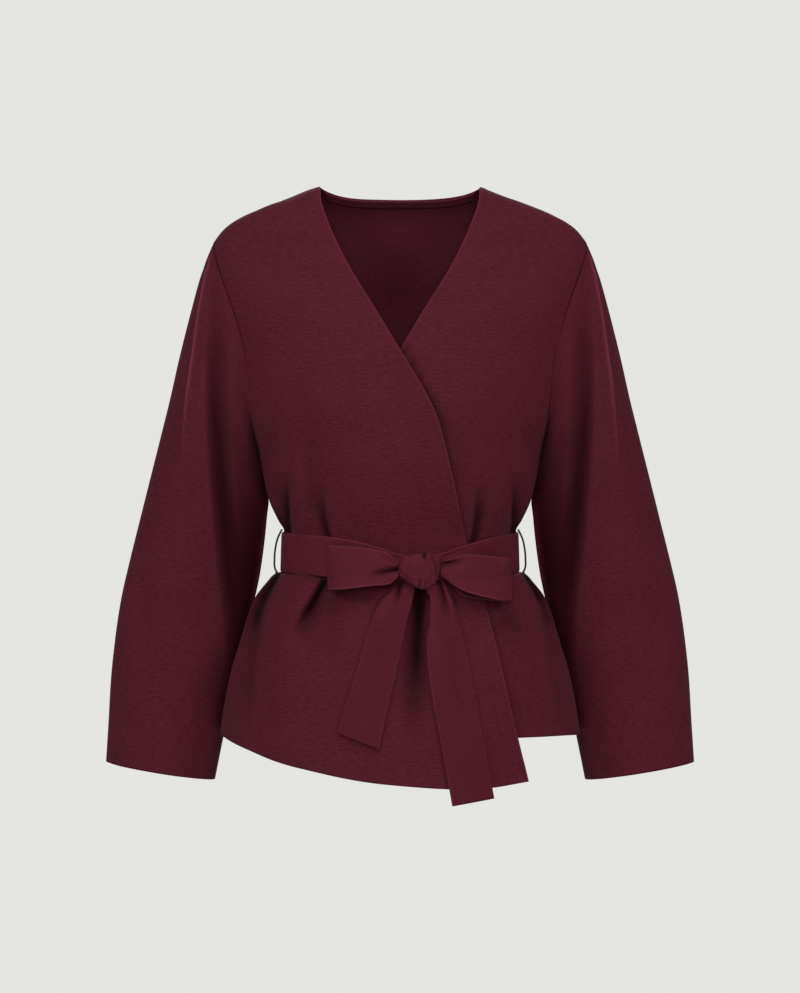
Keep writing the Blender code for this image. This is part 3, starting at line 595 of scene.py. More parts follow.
# The under front is painted darker beside the over front's edge, a painted shadow, most where that
# edge stands off.
EDGE_SHADOW, EDGE_SHADOW_SHADE, EDGE_SHADOW_DEEPER, EDGE_SHADOW_SPREAD = 0.0105, 0.45, 0.40, 0.055
EDGE_HIGHLIGHT, EDGE_HIGHLIGHT_WIDTH = 0.40, 0.0013
FRONT_COLUMNS, FRONT_CALM = 230, 0.16
FRONT_CREASES = table("x0 z0 x1 z1 bow low_x high_x spread depth", [
    (-0.1190, -0.3960, -0.1215, -0.3060, 0.000, 0.0068, 0.0013, 1.6, -0.0155),
    (-0.0690, -0.3960, -0.0840, -0.3250, -0.001, 0.0060, 0.0014, 1.9, -0.0120),
    (-0.1225, -0.3900, -0.1430, -0.3440, 0.000, 0.0070, 0.0040, 1.2, -0.0140),
    (-0.1100, -0.3860, -0.1150, -0.2450, 0.000, 0.0060, 0.0100, 1.6, 0.0040),
    (-0.0950, -0.3600, -0.1040, -0.2300, -0.002, 0.0140, 0.0140, 1.4, -0.0034),
    (0.0745, -0.3960, 0.0850, -0.3200, 0.001, 0.0014, 0.0060, 1.9, -0.0115),
    (0.1211, -0.3960, 0.1222, -0.3100, 0.000, 0.0013, 0.0068, 1.6, -0.0155),
    (0.1235, -0.3900, 0.1410, -0.3480, 0.000, 0.0040, 0.0070, 1.2, -0.0090),
    (0.1010, -0.3860, 0.1060, -0.2700, 0.000, 0.0100, 0.0080, 1.6, 0.0036),
    (-0.1225, -0.4090, -0.1650, -0.5120, -0.006, 0.0072, 0.0026, 2.2, -0.0175),
    (-0.0785, -0.4200, -0.1210, -0.5060, 0.001, 0.0022, 0.0066, 2.8, -0.0155),
    (-0.1480, -0.4620, -0.1740, -0.6300, 0.000, 0.0120, 0.0022, 1.6, -0.0052),
    (-0.1020, -0.4180, -0.1550, -0.5600, 0.005, 0.0120, 0.0120, 1.8, 0.0046),
    (-0.0650, -0.4300, -0.0900, -0.5400, 0.003, 0.0090, 0.0090, 1.8, -0.0034),
    (0.0205, -0.4200, 0.0130, -0.6200, 0.000, 0.0085, 0.0085, 1.6, -0.0140),
    (0.1225, -0.4090, 0.1650, -0.5040, 0.009, 0.0026, 0.0060, 2.2, -0.0175),
    (0.1545, -0.4680, 0.1800, -0.6200, 0.000, 0.0020, 0.0120, 1.6, -0.0056),
    (0.1500, -0.4500, 0.1860, -0.6000, -0.004, 0.0100, 0.0100, 1.6, 0.0040),
    (0.1080, -0.4200, 0.1400, -0.5300, -0.002, 0.0090, 0.0060, 2.0, -0.0040),
])


def edge_across(height):
    """Where the over front's free edge lies at a height."""
    return curve_through(FRONT_EDGE["height"], FRONT_EDGE["across"], height)


def wrap_lift(across, height):
    """How far the over front stands off the body, and what lies on it beyond its edge."""
    edge = np.maximum(edge_across(height), 0)
    onset = smooth((across + edge + WRAP_MARGIN) / WRAP_MARGIN)
    beyond = 1 - smooth((across - edge) / WRAP_MARGIN)
    rise = smooth((WRAP_TOP_HEIGHT - height) / (WRAP_TOP_HEIGHT - WRAP_FULL_HEIGHT))
    stand = EDGE_STAND * np.exp(-((height - EDGE_STAND_HEIGHT) / EDGE_STAND_SPREAD) ** 2)
    near_edge = smooth(1 - np.abs(across - edge) / WRAP_MARGIN)
    pressed = np.exp(-((height - WAIST_HEIGHT) / WAIST_SPREAD) ** WAIST_FLATNESS)
    loose = WRAP_LOOSE_LIFT + (WRAP_LIFT - WRAP_LOOSE_LIFT) * pressed
    return (loose * onset + stand * near_edge) * rise * beyond


def front_grid(hem_table, hand):
    """Angles and levels of a front, whose outer edge lies at -X for hand 1."""
    shares = eased(0, 1, FRONT_COLUMNS, 0.6)
    side_angle, side_level = side_edge(station)
    near = np.stack([-side_angle, side_level], axis=-1)
    near[-1, 1] = hem_table["height"][0]
    share = (1 - np.cos(math.pi * np.clip(station, 0, 1))) / 2
    level = levels_down(station, share * UNDERARM_HEIGHT, hem_table["height"][-1])
    height = level
    for _ in range(LEVEL_ROUNDS):
        angle = angle_at(edge_across(height), level)
        height = level - dip(angle, level)
    far = np.stack([angle, level], axis=-1)
    across = -TIP_ACROSS + (TIP_ACROSS - NECK_HALF_WIDTH) * shares
    ridge = shoulder_height(across)
    top = np.stack([angle_at(across, ridge), ridge], axis=-1)
    low = curve_through(hem_table["run"], hem_table["height"], shares)
    bottom = np.stack([near[-1, 0] * (1 - shares) + far[-1, 0] * shares, low], axis=-1)
    grid = patch(near, far, top, bottom, shares, station)
    grid[..., 0] *= hand
    return grid


def front_panel(name, node, hem_table, hand, over):
    """One front with its creases, its turned-in edges and its shades."""
    grid = front_grid(hem_table, hand)
    angle, level = grid[..., 0], grid[..., 1]
    across = half_width(level) * np.sin(angle)
    calm = smooth((math.pi / 2 - np.abs(angle)) / FRONT_CALM)
    relief = creases(FRONT_CREASES, across, level)
    lift = calm * slack(across, level, seed=11, size=0.0006)
    to_edge = np.abs(across - across[:, -1:])
    to_hem = level - level[-1:]
    lift += (turned_edge(to_hem, reach=0.018, rise=0.0002)
             + turned_edge(to_edge, reach=0.0055, rise=0.0004))
    if over:
        lift += wrap_lift(across, level)
        beside = 0.0
    else:
        # A painted shadow of the over front's edge, cast on the under front.
        deepest = np.exp(-((level - EDGE_STAND_HEIGHT) / EDGE_SHADOW_SPREAD) ** 2)
        beside = EDGE_SHADOW_SHADE + EDGE_SHADOW_DEEPER * deepest
        beside = beside * smooth(1 - (across - edge_across(level)) / EDGE_SHADOW)
    made = body_panel(name, node, -1, grid, lift, relief, 0, hand < 0, beside)
    # A painted highlight along the free edge.
    keep_shade(made.data, "PaintedHighlight", EDGE_HIGHLIGHT * np.exp(-(to_edge / EDGE_HIGHLIGHT_WIDTH) ** 2))
    return made


front_over = front_panel("front_over", "front_right", OVER_HEM, 1, True)
front_under = front_panel("front_under", "front_left", UNDER_HEM, -1, False)

# The sleeves. Each is one wide panel of crepe sewn into a tube that widens to the wrist, set into
# the armhole with a plain seam, and its hem is turned in. A long soft fold hangs from the front of
# the armhole to the cuff, and others run down the back.
SLEEVE = table("outer_across outer_height inner_across inner_height set_back half_depth", [
    (0.2050, -0.0620, 0.1570, -0.2880, 0.0000, 0.053),
    (0.2120, -0.0780, 0.1560, -0.2910, 0.0005, 0.053),
    (0.2200, -0.1020, 0.1544, -0.2965, 0.0010, 0.053),
    (0.2323, -0.1460, 0.1524, -0.3060, 0.0030, 0.052),
    (0.2435, -0.1900, 0.1504, -0.3170, 0.0060, 0.051),
    (0.2537, -0.2340, 0.1479, -0.3300, 0.0100, 0.050),
    (0.2650, -0.2780, 0.1450, -0.3450, 0.0140, 0.050),
    (0.2765, -0.3220, 0.1470, -0.3620, 0.0190, 0.050),
    (0.2880, -0.3665, 0.1494, -0.3850, 0.0240, 0.050),
    (0.2995, -0.4110, 0.1552, -0.4260, 0.0290, 0.049),
    (0.3098, -0.4554, 0.1655, -0.4720, 0.0330, 0.048),
    (0.3167, -0.5000, 0.1765, -0.5190, 0.0360, 0.047),
    (0.3214, -0.5445, 0.1870, -0.5650, 0.0380, 0.047),
    (0.3240, -0.5890, 0.1968, -0.6100, 0.0390, 0.046),
    (0.3270, -0.6347, 0.2058, -0.6545, 0.0400, 0.046),
])
SLEEVE_SETTLE, SLEEVE_STEADY = 6.0, 1.5
# SEAM_SHADE is a painted shade on the sleeve along the armhole seam, fading down the sleeve.
ARMHOLE_GAP, SEAM_TUCK, SEAM_SHADE, SEAM_SHADE_RUN = 0.0001, 0.0030, 0.8, 0.15
SLEEVE_ROWS, SLEEVE_ROW_CROWD, SLEEVE_TURNS = 150, 0.35, 240

# FALL and RETURN shape the long fold, whose step back FALL_SHADE paints darker, a painted shade;
# each
# TURN says how soon an effect fades at the sleeve's edges, and BEHIND is painted shade where the
# sleeve passes behind the body.
FALL_WIDTH, RETURN_START, RETURN_WIDTH, FALL_SHADE = 0.014, 0.004, 0.021, 0.026
CREASE_TURN, PRESS_TURN, FALL_TURN = 0.5, 0.4, 0.45
# The pressed line down the front is raised by PRESS_RISE, and its top is painted paler, a painted
# highlight sharpened by PRESS_SHARPNESS.
PRESS_RISE, PRESS_SHARPNESS = 0.0022, 3
SLEEVE_SLACK, SLEEVE_SLACK_LEAN = 0.0008, 0.3
BEHIND_SHADE, BEHIND_WIDTH, BEHIND_HEIGHT, BEHIND_SPREAD = 0.45, 0.015, -0.300, 0.03
SLEEVE_FOLD = table("height across depth opening", [
    (-0.0900, 0.2100, 0.0000, 0.0),
    (-0.1400, 0.2095, 0.0040, 0.0),
    (-0.1860, 0.2085, 0.0110, 0.0),
    (-0.2560, 0.2065, 0.0170, 0.1),
    (-0.3250, 0.2020, 0.0190, 0.4),
    (-0.3720, 0.1975, 0.0200, 0.7),
    (-0.4260, 0.1930, 0.0180, 1.0),
    (-0.4660, 0.1890, 0.0140, 1.0),
    (-0.5100, 0.1860, 0.0070, 1.0),
    (-0.5600, 0.1840, 0.0000, 1.0),
    (-0.6600, 0.1840, 0.0000, 1.0),
])
SLEEVE_PRESS = table("x0 z0 x1 z1 bow low_x high_x spread depth", [
    (0.2068, -0.0700, 0.2405, -0.3900, 0.0058, 0.0017, 0.0014, 1.4, 1.0),
])
SLEEVE_FRONT_CREASES = table("x0 z0 x1 z1 bow low_x high_x spread depth", [
    (0.2180, -0.0900, 0.2500, -0.4300, 0.003, 0.0100, 0.0070, 2.0, 0.0040),
    (0.2800, -0.3600, 0.2900, -0.5600, 0.001, 0.0100, 0.0100, 1.5, -0.0022),
    (0.2300, -0.4200, 0.2200, -0.6000, 0.001, 0.0160, 0.0160, 1.3, 0.0024),
])
SLEEVE_BACK_CREASES = table("x0 z0 x1 z1 bow low_x high_x spread depth", [
    (0.2100, -0.1300, 0.1800, -0.3900, 0.008, 0.0120, 0.0110, 1.6, -0.0110),
    (0.2500, -0.1800, 0.2640, -0.4400, 0.003, 0.0120, 0.0100, 1.7, -0.0048),
    (0.2050, -0.2900, 0.1950, -0.5400, 0.003, 0.0140, 0.0120, 1.4, -0.0056),
    (0.2300, -0.1100, 0.2420, -0.3600, 0.001, 0.0060, 0.0060, 2.0, 0.0024),
])


def sleeve_fold(across, height):
    """How far the front of the sleeve falls back beside its long fold."""
    at = {name: np.interp(-height, -SLEEVE_FOLD["height"], values)
          for name, values in SLEEVE_FOLD.items()}
    past = at["across"] - across
    falls = smooth(0.5 + past / FALL_WIDTH)
    returns = smooth((past - RETURN_START) / RETURN_WIDTH) * (1 - at["opening"])
    return at["depth"] * (falls - returns)


def sleeve_ring(run, turn):
    """The sleeve's plain ring at a run down the table, before the armhole's shape is added."""
    rows = np.arange(len(SLEEVE["set_back"]))
    at = {name: curve_through(rows, values, run) for name, values in SLEEVE.items()}
    cosine, sine = np.cos(turn), np.sin(turn)
    x = (at["outer_across"] * (1 + cosine) + at["inner_across"] * (1 - cosine)) / 2
    z = (at["outer_height"] * (1 + cosine) + at["inner_height"] * (1 - cosine)) / 2
    y = at["set_back"] - at["half_depth"] * sine
    return np.stack([x, y, z], axis=-1)


def sleeve_points(run, turn, seed):
    """Points of the sleeve at +X, from the armhole's outline down, with its painted shade and
    painted highlight.
    """
    seam, _, _ = armhole(turn)
    seam[..., 0] += ARMHOLE_GAP
    seam[..., 2] -= ARMHOLE_GAP * (1 + np.cos(turn)) / 2
    settle = (1 - smooth(run / SLEEVE_SETTLE))[..., None]
    points = sleeve_ring(run, turn) + settle * (seam - sleeve_ring(0 * run, turn))
    centre = (sleeve_ring(run, 0 * turn) + sleeve_ring(run, 0 * turn + math.pi)) / 2
    outward = points - centre
    outward /= np.linalg.norm(outward, axis=-1)[..., None]
    across, height = points[..., 0], points[..., 2]
    facing = np.sin(turn)
    total = creases(SLEEVE_FRONT_CREASES, across, height) * smooth(facing / CREASE_TURN)
    total += creases(SLEEVE_BACK_CREASES, across, height) * smooth(-facing / CREASE_TURN)
    total += (slack(across + SLEEVE_SLACK_LEAN * points[..., 1], height, seed, SLEEVE_SLACK)
              * smooth(np.abs(facing) / CREASE_TURN))
    pressed = creases(SLEEVE_PRESS, across, height) * smooth(facing / PRESS_TURN)
    total += PRESS_RISE * pressed
    total *= smooth(run / SLEEVE_STEADY)
    points = points + outward * total[..., None]
    fallen = sleeve_fold(across, height) * smooth(facing / FALL_TURN) * smooth(run / SLEEVE_STEADY)
    points[..., 1] += fallen
    near_body = smooth(1 - (across - half_width(height)) / BEHIND_WIDTH)
    # Painted shade: in the fold's step back, beside the body and along the seam.
    painted_shade = fallen / FALL_SHADE
    painted_shade += BEHIND_SHADE * (near_body * smooth((BEHIND_HEIGHT - height) / BEHIND_SPREAD))
    painted_shade += SEAM_SHADE * np.exp(-(run / SEAM_SHADE_RUN) ** 2)
    return points, painted_shade, pressed ** PRESS_SHARPNESS


def with_allowance(turns, points, painted_shade, pressed):
    """The sleeve with its seam allowance, which is tucked in under the body's edge."""
    tucked, _, _ = armhole(turns[None], -SEAM_TUCK)
    tucked[..., 0] -= SEAM_TUCK
    return [np.concatenate([first, rest]) for first, rest in (
        (tucked, points), (painted_shade[:1], painted_shade), (pressed[:1], pressed))]


rings = len(SLEEVE["set_back"]) - 1
turns = np.linspace(0, 2 * math.pi, SLEEVE_TURNS + 1)[:-1]
run, turn = np.meshgrid(eased(0, rings, SLEEVE_ROWS, SLEEVE_ROW_CROWD), turns, indexing="ij")
for side, hand, seed in (("left", 1, 23), ("right", -1, 31)):
    points, painted_shade, pressed = with_allowance(turns, *sleeve_points(run, turn, seed))
    points = points * (hand, 1, 1)
    weave = weave_map(points, 0, closed=True)
    sleeve = cloth_sheet(f"sleeve_cloth_{side}", f"sleeve_{side}", points, weave, CLOTH_WALL, -1.0,
                         cloth_crepe, closed=True, turned=hand > 0)
    # Painted shade in the long fold, beside the body and along the seam.
    keep_shade(sleeve.data, "PaintedShade", painted_shade)
    # A painted highlight along the pressed line.
    keep_shade(sleeve.data, "PaintedHighlight", pressed)

# The neck facing. A narrow strip of the same crepe, sewn inside the back of the neck just under
# its edge, which shows as a thin line through the open front.
FACING_WALL, FACING_STAND, FACING_DEPTH, FACING_ROWS = 0.0010, 0.0006, 0.0070, 7
FACING_SHORT, FACING_HIGHLIGHT = 6, 0.35
facing_across = neck_across[FACING_SHORT:-FACING_SHORT]
facing_edge = neck_height[FACING_SHORT:-FACING_SHORT]
facing_lift = np.full_like(facing_across, -(CLOTH_WALL + FACING_STAND + FACING_WALL))
facing_points = np.array([
    body_point(1, angle_at(facing_across, facing_edge - drop), facing_edge - drop, facing_lift)
    for drop in np.linspace(0, FACING_DEPTH, FACING_ROWS)])
facing = cloth_sheet("facing_strip", "neck_facing", facing_points, weave_map(facing_points, 0),
                     FACING_WALL, 1.0, cloth_crepe, turned=True)
# The facing is painted paler all over, a painted highlight.
keep_shade(facing.data, "PaintedHighlight", np.full(facing_points.shape[:2], FACING_HIGHLIGHT))

# The belt. A long strip of the same crepe, sewn double so that its edges are rounded, wraps the
# waist over both fronts and is tied in a bow. This is the part round the waist.
# A lit copy of the jacket's crepe: the same weave in paler tones, painted lighter where the belt
# and its loops catch the light.
BELT_COLOUR = (0.1230, 0.0168, 0.0306, 1.0)
BELT_DEEP = (0.0870, 0.0106, 0.0202, 1.0)
BELT_WALL, BELT_WIDTH, BELT_CUT_WIDTH, BELT_STAND = 0.0020, 0.045, 0.047, 0.0009
# The belt's creases are painted darker, a painted shade, and its edges paler, a painted highlight.
BELT_FOLD_DEPTH, BELT_EDGE_HIGHLIGHT, BELT_EDGE_WIDTH = 0.010, 0.35, 0.0014
BAND = table("across top bottom", [
    (-0.130, -0.3795, -0.4230),
    (-0.080, -0.3830, -0.4262),
    (-0.056, -0.3860, -0.4280),
    (-0.021, -0.3950, -0.4300),
    (0.000, -0.4020, -0.4290),
    (0.021, -0.4050, -0.4270),
    (0.043, -0.4010, -0.4290),
    (0.064, -0.3935, -0.4280),
    (0.100, -0.3840, -0.4250),
    (0.130, -0.3795, -0.4230),
])
BAND_TURNS, BAND_ROWS = 300, 18
BAND_CREASES = table("x0 z0 x1 z1 bow low_x high_x spread depth", [
    (0.000, -0.4080, -0.058, -0.3960, 0.000, 0.0016, 0.0030, 1.5, -0.0012),
    (0.040, -0.4080, 0.086, -0.3910, 0.000, 0.0030, 0.0018, 1.5, -0.0014),
    (0.044, -0.4150, 0.080, -0.4060, 0.000, 0.0030, 0.0030, 1.5, 0.0008),
    (-0.090, -0.3920, -0.124, -0.3990, 0.000, 0.0030, 0.0030, 1.0, -0.0005),
])
EDGE_ROUNDNESS = 10
STRIP_CROWD = 0.75
belt_crepe = crepe("belt_crepe", BELT_COLOUR, BELT_DEEP, rib_depth=0.5)


def double_strip(name, node, middle, shares, relief, closed=False, shade=0.0):
    """A belt strip sewn double: two faces either side of its middle, meeting at rounded edges."""
    rows, stations = middle.shape[:2]
    last = rows - 1
    if closed:
        wrapped = np.concatenate([middle[:, -1:], middle, middle[:, :1]], axis=1)
        along = wrapped[:, 2:] - wrapped[:, :-2]
        lengths = np.linalg.norm(np.diff(wrapped[:, 1:], axis=1), axis=-1).mean(axis=0)
    else:
        along = np.gradient(middle, axis=1)
        lengths = np.linalg.norm(np.diff(middle, axis=1), axis=-1).mean(axis=0)
    normal = np.cross(along, np.gradient(middle, axis=0))
    normal /= np.linalg.norm(normal, axis=-1)[..., None]
    full = (1 - np.abs(2 * shares - 1) ** EDGE_ROUNDNESS) ** 0.5 * (BELT_WALL / 2)
    outer = middle + normal * full[:, None, None]
    inner = middle - normal * full[:, None, None]
    ring = np.concatenate([outer, inner[-2:0:-1]], axis=0)
    around = len(ring)
    spans = np.arange(stations if closed else stations - 1)
    row = np.arange(around)[:, None]
    below, beside = (row + 1) % around, (spans + 1) % stations
    quads = np.stack(np.broadcast_arrays(row * stations + spans, row * stations + beside,
                                         below * stations + beside, below * stations + spans),
                     axis=-1).reshape(-1, 4)
    faces = quads.tolist()
    if not closed:
        for station in (0, stations - 1):
            for edge in range(last):
                corners = edge, edge + 1, (2 * last - edge - 1) % around, (2 * last - edge) % around
                faces.append([corner * stations + station for corner in dict.fromkeys(corners)])
    run = np.concatenate([[0.0], np.cumsum(lengths)])
    over = BELT_WIDTH * np.concatenate([shares, shares[-2:0:-1]])
    mesh = bpy.data.meshes.new(name)
    mesh.from_pydata((ring.reshape(-1, 3) + (0, 0, ORIGIN_RAISE)).tolist(), [], faces)
    layer = mesh.uv_layers.new(name="Weave")
    for face in mesh.polygons:
        at = [divmod(mesh.loops[loop].vertex_index, stations) for loop in face.loop_indices]
        wraps = closed and {station for _, station in at} >= {0, stations - 1}
        for loop, (place, station) in zip(face.loop_indices, at):
            layer.data[loop].uv = over[place], run[stations if wraps and station == 0 else station]
    builder = bmesh.new()
    builder.from_mesh(mesh)
    bmesh.ops.recalc_face_normals(builder, faces=builder.faces)
    builder.to_mesh(mesh)
    builder.free()
    mesh.shade_smooth()
    mesh.materials.append(belt_crepe)
    # Painted shade in the creases, and a painted highlight along both edges.
    depth = np.concatenate([relief, relief[-2:0:-1]], axis=0)
    keep_shade(mesh, "PaintedShade", shade - depth / BELT_FOLD_DEPTH)
    edge = np.exp(-((np.minimum(over, BELT_WIDTH - over) / BELT_EDGE_WIDTH) ** 2))
    keep_shade(mesh, "PaintedHighlight", BELT_EDGE_HIGHLIGHT * np.repeat(edge, stations))
    return worn(placed(name, mesh), node)


def on_front(across, height, lift):
    """A place on the front by its real distance across and height."""
    level = height
    for _ in range(LEVEL_ROUNDS):
        angle = angle_at(across, level, lift)
        level = height + dip(angle, level)
    return body_point(-1, angle, level, lift)


band_turn = np.linspace(0, 2 * math.pi, BAND_TURNS + 1)[:-1]
band_across = half_width(BELT_TOP) * np.sin(band_turn)
band_top = curve_through(BAND["across"], BAND["top"], band_across)
band_bottom = curve_through(BAND["across"], BAND["bottom"], band_across)
behind = np.cos(band_turn) < 0
band_top[behind] = np.where(band_across[behind] < 0, BAND["top"][0], BAND["top"][-1])
band_bottom[behind] = np.where(band_across[behind] < 0, BAND["bottom"][0], BAND["bottom"][-1])
band_middle = (band_top + band_bottom) / 2
band_rise = np.where(behind, 0, wrap_lift(band_across, band_middle)) + BELT_STAND + BELT_WALL / 2
band_angle = np.arcsin(np.sin(band_turn))
band_shares = eased(0, 1, BAND_ROWS, STRIP_CROWD)
band_rows = []
for share in band_shares:
    height = band_top * (1 - share) + band_bottom * share
    level = height
    for _ in range(LEVEL_ROUNDS):
        level = height + dip(band_angle, level)
    front = body_point(-1, band_angle, level, band_rise)
    front[:, 1] -= creases(BAND_CREASES, front[:, 0], front[:, 2])
    rear = body_point(1, band_angle, height, band_rise)
    band_rows.append(np.where(behind[:, None], rear, front))
band_points = np.array(band_rows)
belt_around = double_strip("belt_around", "belt_band", band_points, band_shares,
                           np.zeros(band_points.shape[:2]), closed=True)

# The belt's ends. Each comes out from behind the knot and hangs over the right front, flat, with
# its end cut square and sewn closed.
TAIL_RIGHT = table("left left_height right right_height", [
    (0.0060, -0.4190, 0.0200, -0.4190),
    (-0.0070, -0.4380, 0.0160, -0.4380),
    (-0.0197, -0.4510, 0.0128, -0.4530),
    (-0.0297, -0.4716, 0.0070, -0.4740),
    (-0.0437, -0.5168, -0.0026, -0.5200),
    (-0.0550, -0.5540, -0.0124, -0.5620),
    (-0.0664, -0.5905, -0.0222, -0.6070),
])
TAIL_LEFT = table("left left_height right right_height", [
    (0.0240, -0.4190, 0.0390, -0.4190),
    (0.0260, -0.4377, 0.0480, -0.4330),
    (0.0325, -0.4505, 0.0545, -0.4451),
    (0.0319, -0.4716, 0.0618, -0.4716),
    (0.0281, -0.4958, 0.0684, -0.4958),
    (0.0292, -0.5168, 0.0731, -0.5168),
    (0.0334, -0.5490, 0.0787, -0.5490),
    (0.0430, -0.6001, 0.0885, -0.5990),
    (0.0550, -0.6668, 0.0998, -0.6597),
])
TAIL_STAND, TAIL_KNOT_STAND = 0.0032, 0.0047
TAIL_BILLOW, BILLOW_START, BILLOW_END, BILLOW_ARCH = 0.0075, 1.2, 4.0, 0.5
# TAIL_SHADE paints the tails a little darker all over, a painted shade as they hang under the bow.
TAIL_SHADE, TAIL_CREASE_BEGIN, TAIL_CUT_SHARE = 0.15, 0.003, 0.9
TAIL_ROWS, TAIL_COLUMNS = 130, 30
TAIL_CREASES = table("x0 z0 x1 z1 bow low_x high_x spread depth", [
    (0.0010, -0.4280, -0.0040, -0.4600, 0.000, 0.0034, 0.0022, 1.2, -0.0056),
    (-0.0100, -0.4300, -0.0260, -0.4800, 0.000, 0.0060, 0.0060, 1.5, 0.0030),
    (0.0400, -0.4280, 0.0520, -0.4760, 0.002, 0.0036, 0.0022, 1.5, -0.0056),
    (0.0300, -0.4300, 0.0450, -0.5300, -0.002, 0.0050, 0.0050, 1.5, 0.0030),
    (0.0440, -0.4280, 0.0600, -0.4860, 0.002, 0.0016, 0.0016, 1.4, 0.0016),
    (0.0560, -0.4900, 0.0640, -0.5900, 0.000, 0.0080, 0.0080, 1.0, -0.0008),
    (-0.0200, -0.4800, -0.0380, -0.5700, 0.000, 0.0080, 0.0080, 1.0, -0.0008),
])


def tail(name, node, edges):
    """One end of the belt, hung down between its two edges."""
    rows = np.arange(len(edges["left"]), dtype=float)
    run = np.linspace(0, rows[-1], TAIL_ROWS + 1)
    at = {column: curve_through(rows, values, run) for column, values in edges.items()}
    stand = TAIL_STAND + (TAIL_KNOT_STAND - TAIL_STAND) * (1 - smooth(run - 1))
    flattened = smooth((run - BILLOW_START) / (BILLOW_END - BILLOW_START))
    billow = TAIL_BILLOW * smooth(run / BILLOW_START) * (1 - flattened)
    shares = eased(0, 1, TAIL_COLUMNS, STRIP_CROWD)
    points, relief = [], []
    for share in shares:
        across = at["left"] * (1 - share) + at["right"] * share
        height = at["left_height"] * (1 - share) + at["right_height"] * share
        arched = billow * (1 - BILLOW_ARCH * (2 * share - 1) ** 2)
        relief.append(creases(TAIL_CREASES, across, height, TAIL_CREASE_BEGIN))
        lift = wrap_lift(across, height) + stand + arched + relief[-1]
        points.append(on_front(across, height, np.maximum(lift, TAIL_STAND)))
    middle = np.array(points)
    made = double_strip(name, node, middle, shares, np.array(relief), shade=TAIL_SHADE)


tail("tail_right", "belt_tail_right", TAIL_RIGHT)
tail("tail_left", "belt_tail_left", TAIL_LEFT)

# The bow's loops. Each runs out from the knot, turns round at its end and comes back behind
# itself. The cloth is gathered where the knot grips it.
BOW_LOOP_RIGHT = table("across top bottom lift", [
    (-0.0015, -0.4100, -0.4250, 0.0180),
    (-0.0120, -0.4010, -0.4335, 0.0210),
    (-0.0360, -0.3950, -0.4360, 0.0225),
    (-0.0600, -0.3935, -0.4390, 0.0205),
    (-0.0720, -0.3930, -0.4397, 0.0175),
    (-0.0765, -0.3930, -0.4400, 0.0135),
    (-0.0720, -0.3940, -0.4397, 0.0095),
    (-0.0500, -0.3960, -0.4380, 0.0079),
    (-0.0250, -0.3990, -0.4340, 0.0079),
    (-0.0050, -0.4080, -0.4260, 0.0110),
])
BOW_LOOP_LEFT = table("across top bottom lift", [
    (0.0434, -0.4110, -0.4260, 0.0180),
    (0.0540, -0.4070, -0.4330, 0.0210),
    (0.0710, -0.4020, -0.4420, 0.0235),
    (0.0950, -0.4040, -0.4485, 0.0225),
    (0.1110, -0.4060, -0.4515, 0.0210),
    (0.1190, -0.4070, -0.4520, 0.0175),
    (0.1170, -0.4080, -0.4535, 0.0125),
    (0.0950, -0.4060, -0.4515, 0.0090),
    (0.0700, -0.4080, -0.4480, 0.0079),
    (0.0480, -0.4120, -0.4270, 0.0110),
])
LOOP_STEPS, LOOP_COLUMNS, LOOP_CROWD, LOOP_CUT_SHARE = 150, 44, 0.6, 0.85
LOOP_TURN_START, LOOP_TURN_LENGTH, LOOP_BACK_RELIEF = 3.4, 1.2, 0.25
LOOP_CREASE_BEGIN, LOOP_CREASE_END = 0.002, 0.8
LOOP_TILT = 0.0110
LOOP_CREASES = table("x0 z0 x1 z1 bow low_x high_x spread depth", [
    (0.0030, -0.4175, -0.0440, -0.4285, -0.001, 0.0024, 0.0024, 2.2, -0.0072),
    (0.0030, -0.4130, -0.0450, -0.4080, 0.000, 0.0030, 0.0030, 2.0, 0.0022),
    (0.0020, -0.4225, -0.0300, -0.4370, 0.000, 0.0024, 0.0024, 1.8, 0.0016),
    (-0.0030, -0.4120, -0.0300, -0.3990, 0.000, 0.0018, 0.0018, 1.5, -0.0022),
    (-0.0690, -0.3950, -0.0640, -0.4200, 0.000, 0.0020, 0.0020, 1.5, -0.0006),
    (0.0400, -0.4128, 0.0760, -0.4090, 0.000, 0.0022, 0.0024, 2.0, -0.0064),
    (0.0400, -0.4180, 0.0880, -0.4230, 0.000, 0.0034, 0.0034, 2.0, 0.0026),
    (0.0390, -0.4230, 0.0680, -0.4460, 0.000, 0.0022, 0.0022, 2.0, -0.0050),
    (0.0440, -0.4080, 0.0640, -0.4030, 0.000, 0.0020, 0.0020, 1.5, 0.0010),
])


def bow_loop(name, node, path):
    """One loop of the bow, out along its path and back behind itself."""
    rows = np.arange(len(path["lift"]), dtype=float)
    run = np.linspace(0, rows[-1], LOOP_STEPS + 1)
    at = {column: curve_through(rows, values, run) for column, values in path.items()}
    shares = eased(0, 1, LOOP_COLUMNS, LOOP_CROWD)
    in_front = 1 - smooth((run - LOOP_TURN_START) / LOOP_TURN_LENGTH)
    points, relief = [], []
    for share in shares:
        height = at["top"] * (1 - share) + at["bottom"] * share
        tilt = LOOP_TILT * (share - 0.5) * in_front
        gather = creases(LOOP_CREASES, at["across"], height, LOOP_CREASE_BEGIN, LOOP_CREASE_END)
        relief.append(gather * (LOOP_BACK_RELIEF + (1 - LOOP_BACK_RELIEF) * in_front))
        points.append(on_front(at["across"], height, at["lift"] + tilt + relief[-1]))
    middle = np.array(points)
    made = double_strip(name, node, middle, shares, np.array(relief))


bow_loop("loop_right", "bow_loop_right", BOW_LOOP_RIGHT)
bow_loop("loop_left", "bow_loop_left", BOW_LOOP_LEFT)

